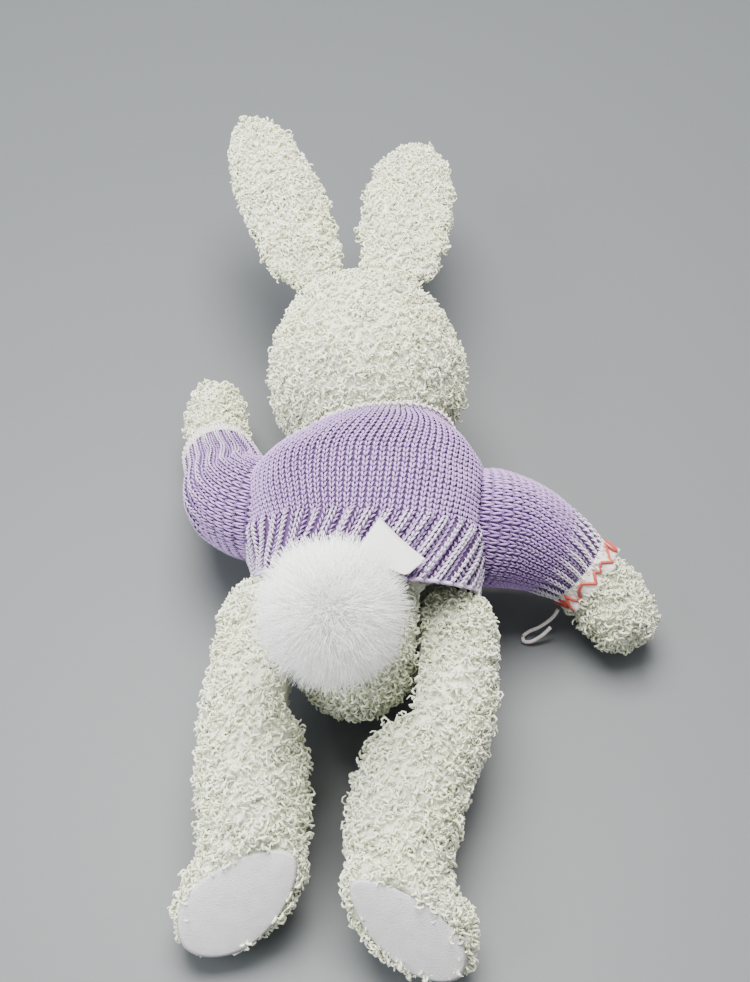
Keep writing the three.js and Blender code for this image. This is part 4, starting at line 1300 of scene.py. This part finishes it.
class RABBIT_OT_sleeves(bpy.types.Operator):
    """Both sleeves: the left ribbed along the arm, the right plain and gathered at its red-stitched cuff."""

    bl_idname = "rabbit.sleeves"
    bl_label = "Sleeves and cuffs"

    def execute(self, context):
        for seed, (name, arm) in enumerate(ARMS.items()):
            skin = Skin(sleeve_shape(arm))
            total, wales = int(round(skin.length / SLEEVE["course"])), SLEEVE["wales"]
            left = name == "left"
            first = 5 if left else total - 8
            ribbed = lambda course: np.clip((course - first) / 4, 0, 1)
            period, shift = (RIB["period"], 0.0) if left else (2.0, 0.5)
            ridge = lambda wale: np.cos(2 * np.pi * (wale - shift) / period)
            relief = lambda wale, course: ribbed(course) * (1.0 * ridge(wale) + 0.2)

            def white(wale, course, side):
                # Near the cuff the yarn is its own white trim, heavier on the crests; on the rib's crests further up,
                # the white is a painted highlight.
                crest = ridge(wale + 0.25 * side) > 0.4
                near_cuff = np.clip((course - total + (6 if left else 8)) / 5, 0, 1)
                return np.clip(near_cuff * np.where(crest, 0.8, 0.25) + ribbed(course) * np.where(crest, 0.25, 0), 0, 1)

            keep = lambda points: ~under_jumper(points)
            cloth = cloth_tube(f"{name}_sleeve_cloth", skin, relief, wales, total)
            knit = stitches(f"{name}_sleeve_stitches", skin, wales, (0, total), keep, relief, white, seed=5 + seed)
            attach(cloth, f"{name}_arm", "jumper", f"{name}_sleeve")
            attach(knit, f"{name}_arm", "jumper")
            edge = overlock(f"{name}_cuff_overlock", skin, 1, past=1.0, loops=40 if left else 34, steps=480, lift=0.8,
                            radius=0.55)
            attach(edge, f"{name}_arm", "binding", f"{name}_cuff_binding")
            around, along = np.meshgrid(np.arange(160) / 160, np.linspace(-1.5, 2.6 if left else 6.0, 9))
            out = 0.6 + (0 if left else 1) * flare(around, along)
            points = lifted(skin.on(around, 1 + along / skin.length, out), 0.3)
            band = new_piece(f"{name}_cuff_band", points, tube_faces(1, 9, 160)[0], look("cream_thread"))
            attach(thickened(band, 0.8), f"{name}_arm", "binding")
            if not left:
                zigzags, steps = 14, 12
                turns = np.linspace(0, 1, zigzags * steps, endpoint=False)
                saw = 4 * np.abs((turns * zigzags + 0.25 * np.sin(10 * np.pi * turns)) % 1 - 0.5) - 1
                past = 2.2 + 2.8 * (saw * (0.85 + 0.35 * np.sin(6 * np.pi * turns + 1)))
                red = thread("cuff_zigzag", turns, 1 + past / skin.length, 1.5 + flare(turns, past), skin, 0.62,
                             look("red_thread"))
                attach(red, "right_arm", "binding")
        return {"FINISHED"}


LABEL = {"fold": ((5.9, -20.5, 82.7), (22.0, -35.3, 79.3)), "foot": ((-0.6, -36.5, 82.4), (16.8, -42.0, 80.6)),
         "corner": 0.22, "flat": (0.020, 0.028)}


class RABBIT_OT_label(bpy.types.Operator):
    """The care label: blank satin, folded once along its upper edge, lying up over the hem."""

    bl_idname = "rabbit.label"
    bl_label = "Care label"

    def execute(self, context):
        fold, foot = np.array(LABEL["fold"]), np.array(LABEL["foot"])
        drop, along = np.meshgrid(np.linspace(-1, 1, 61), np.linspace(0, 1, 33), indexing="ij")
        corner = LABEL["corner"]
        down = np.abs(drop)
        near = np.clip((down - (1 - corner)) / corner, 0, 1)
        across = (along * (1 - corner * 0.45 * (1 - np.sqrt(1 - near**2))))[..., None]
        top, low = fold[0] * (1 - across) + fold[1] * across, foot[0] * (1 - across) + foot[1] * across
        points = top * (1 - down[..., None]) + low * down[..., None]
        beyond = unit((fold - foot).mean(0) * (1, 1, 0))
        apart = 1 - np.exp(-12 * down)
        points += (3.2 * along * (drop < 0) * apart)[..., None] * beyond
        wave = 0.5 * np.sin(3.1 * along + 2.2 * down) * down
        selvedge = 0.3 * np.exp(-(((down - 0.13) / 0.035) ** 2)) * (drop > 0)
        points[..., 2] += 0.3 * (np.sign(drop) * apart) + wave + 0.5 * np.sin(np.pi * down) + selvedge
        label = new_piece("label_tab", points, sheet_faces(61, 33), look("label_satin"))
        attach(thickened(label, 0.2), "trunk", "satin", "care_label")
        return {"FINISHED"}


class RABBIT_OT_fittings(bpy.types.Operator):
    """Looks for what the covers hide: disc joints, washers, filling and the bag of pellets."""

    bl_idname = "rabbit.fittings"
    bl_label = "Joints and filling"

    def execute(self, context):
        plastic, filling, cotton = look("joint_plastic"), look("loose_filling"), look("pellet_cotton")
        for name, node in frame["nodes"].items():
            if name == "nose":
                continue
            soft = "stuffing" in name or "core" in name
            dress(node, filling if soft else cotton if name == "pellet_bag" else plastic)
        return {"FINISHED"}


PIECES = (RABBIT_OT_stage, RABBIT_OT_yarn_end, RABBIT_OT_head, RABBIT_OT_ears, RABBIT_OT_arms, RABBIT_OT_legs,
          RABBIT_OT_trunk, RABBIT_OT_tail, RABBIT_OT_jumper, RABBIT_OT_sleeves, RABBIT_OT_label, RABBIT_OT_fittings)


class RABBIT_PT_panel(bpy.types.Panel):
    """The rabbit's pieces and sizes, in the 3D view's sidebar."""

    bl_idname = "RABBIT_PT_panel"
    bl_label = "Plush rabbit"
    bl_space_type = "VIEW_3D"
    bl_region_type = "UI"
    bl_category = "Rabbit"

    def draw(self, context):
        for group in (context.scene.rabbit_plush, context.scene.rabbit_jumper, context.scene.rabbit_tail,
                      context.scene.rabbit_stage):
            box = self.layout.box()
            for name in type(group).__annotations__:
                box.prop(group, name)
        for piece in PIECES:
            self.layout.operator(piece.bl_idname)


GROUPS = {"rabbit_plush": RabbitPlush, "rabbit_jumper": RabbitJumper, "rabbit_tail": RabbitTail,
          "rabbit_stage": RabbitStage}


def register():
    for group in GROUPS.values():
        bpy.utils.register_class(group)
    for name, group in GROUPS.items():
        setattr(bpy.types.Scene, name, PointerProperty(type=group))
    for piece in (*PIECES, RABBIT_PT_panel):
        bpy.utils.register_class(piece)


def unregister():
    for piece in (RABBIT_PT_panel, *reversed(PIECES)):
        bpy.utils.unregister_class(piece)
    for name in GROUPS:
        delattr(bpy.types.Scene, name)
    for group in reversed(GROUPS.values()):
        bpy.utils.unregister_class(group)


def main():
    """Makes every piece in order."""
    register()
    for piece in PIECES:
        group, name = piece.bl_idname.split(".")
        getattr(getattr(bpy.ops, group), name)()


if __name__ == "__main__":
    main()
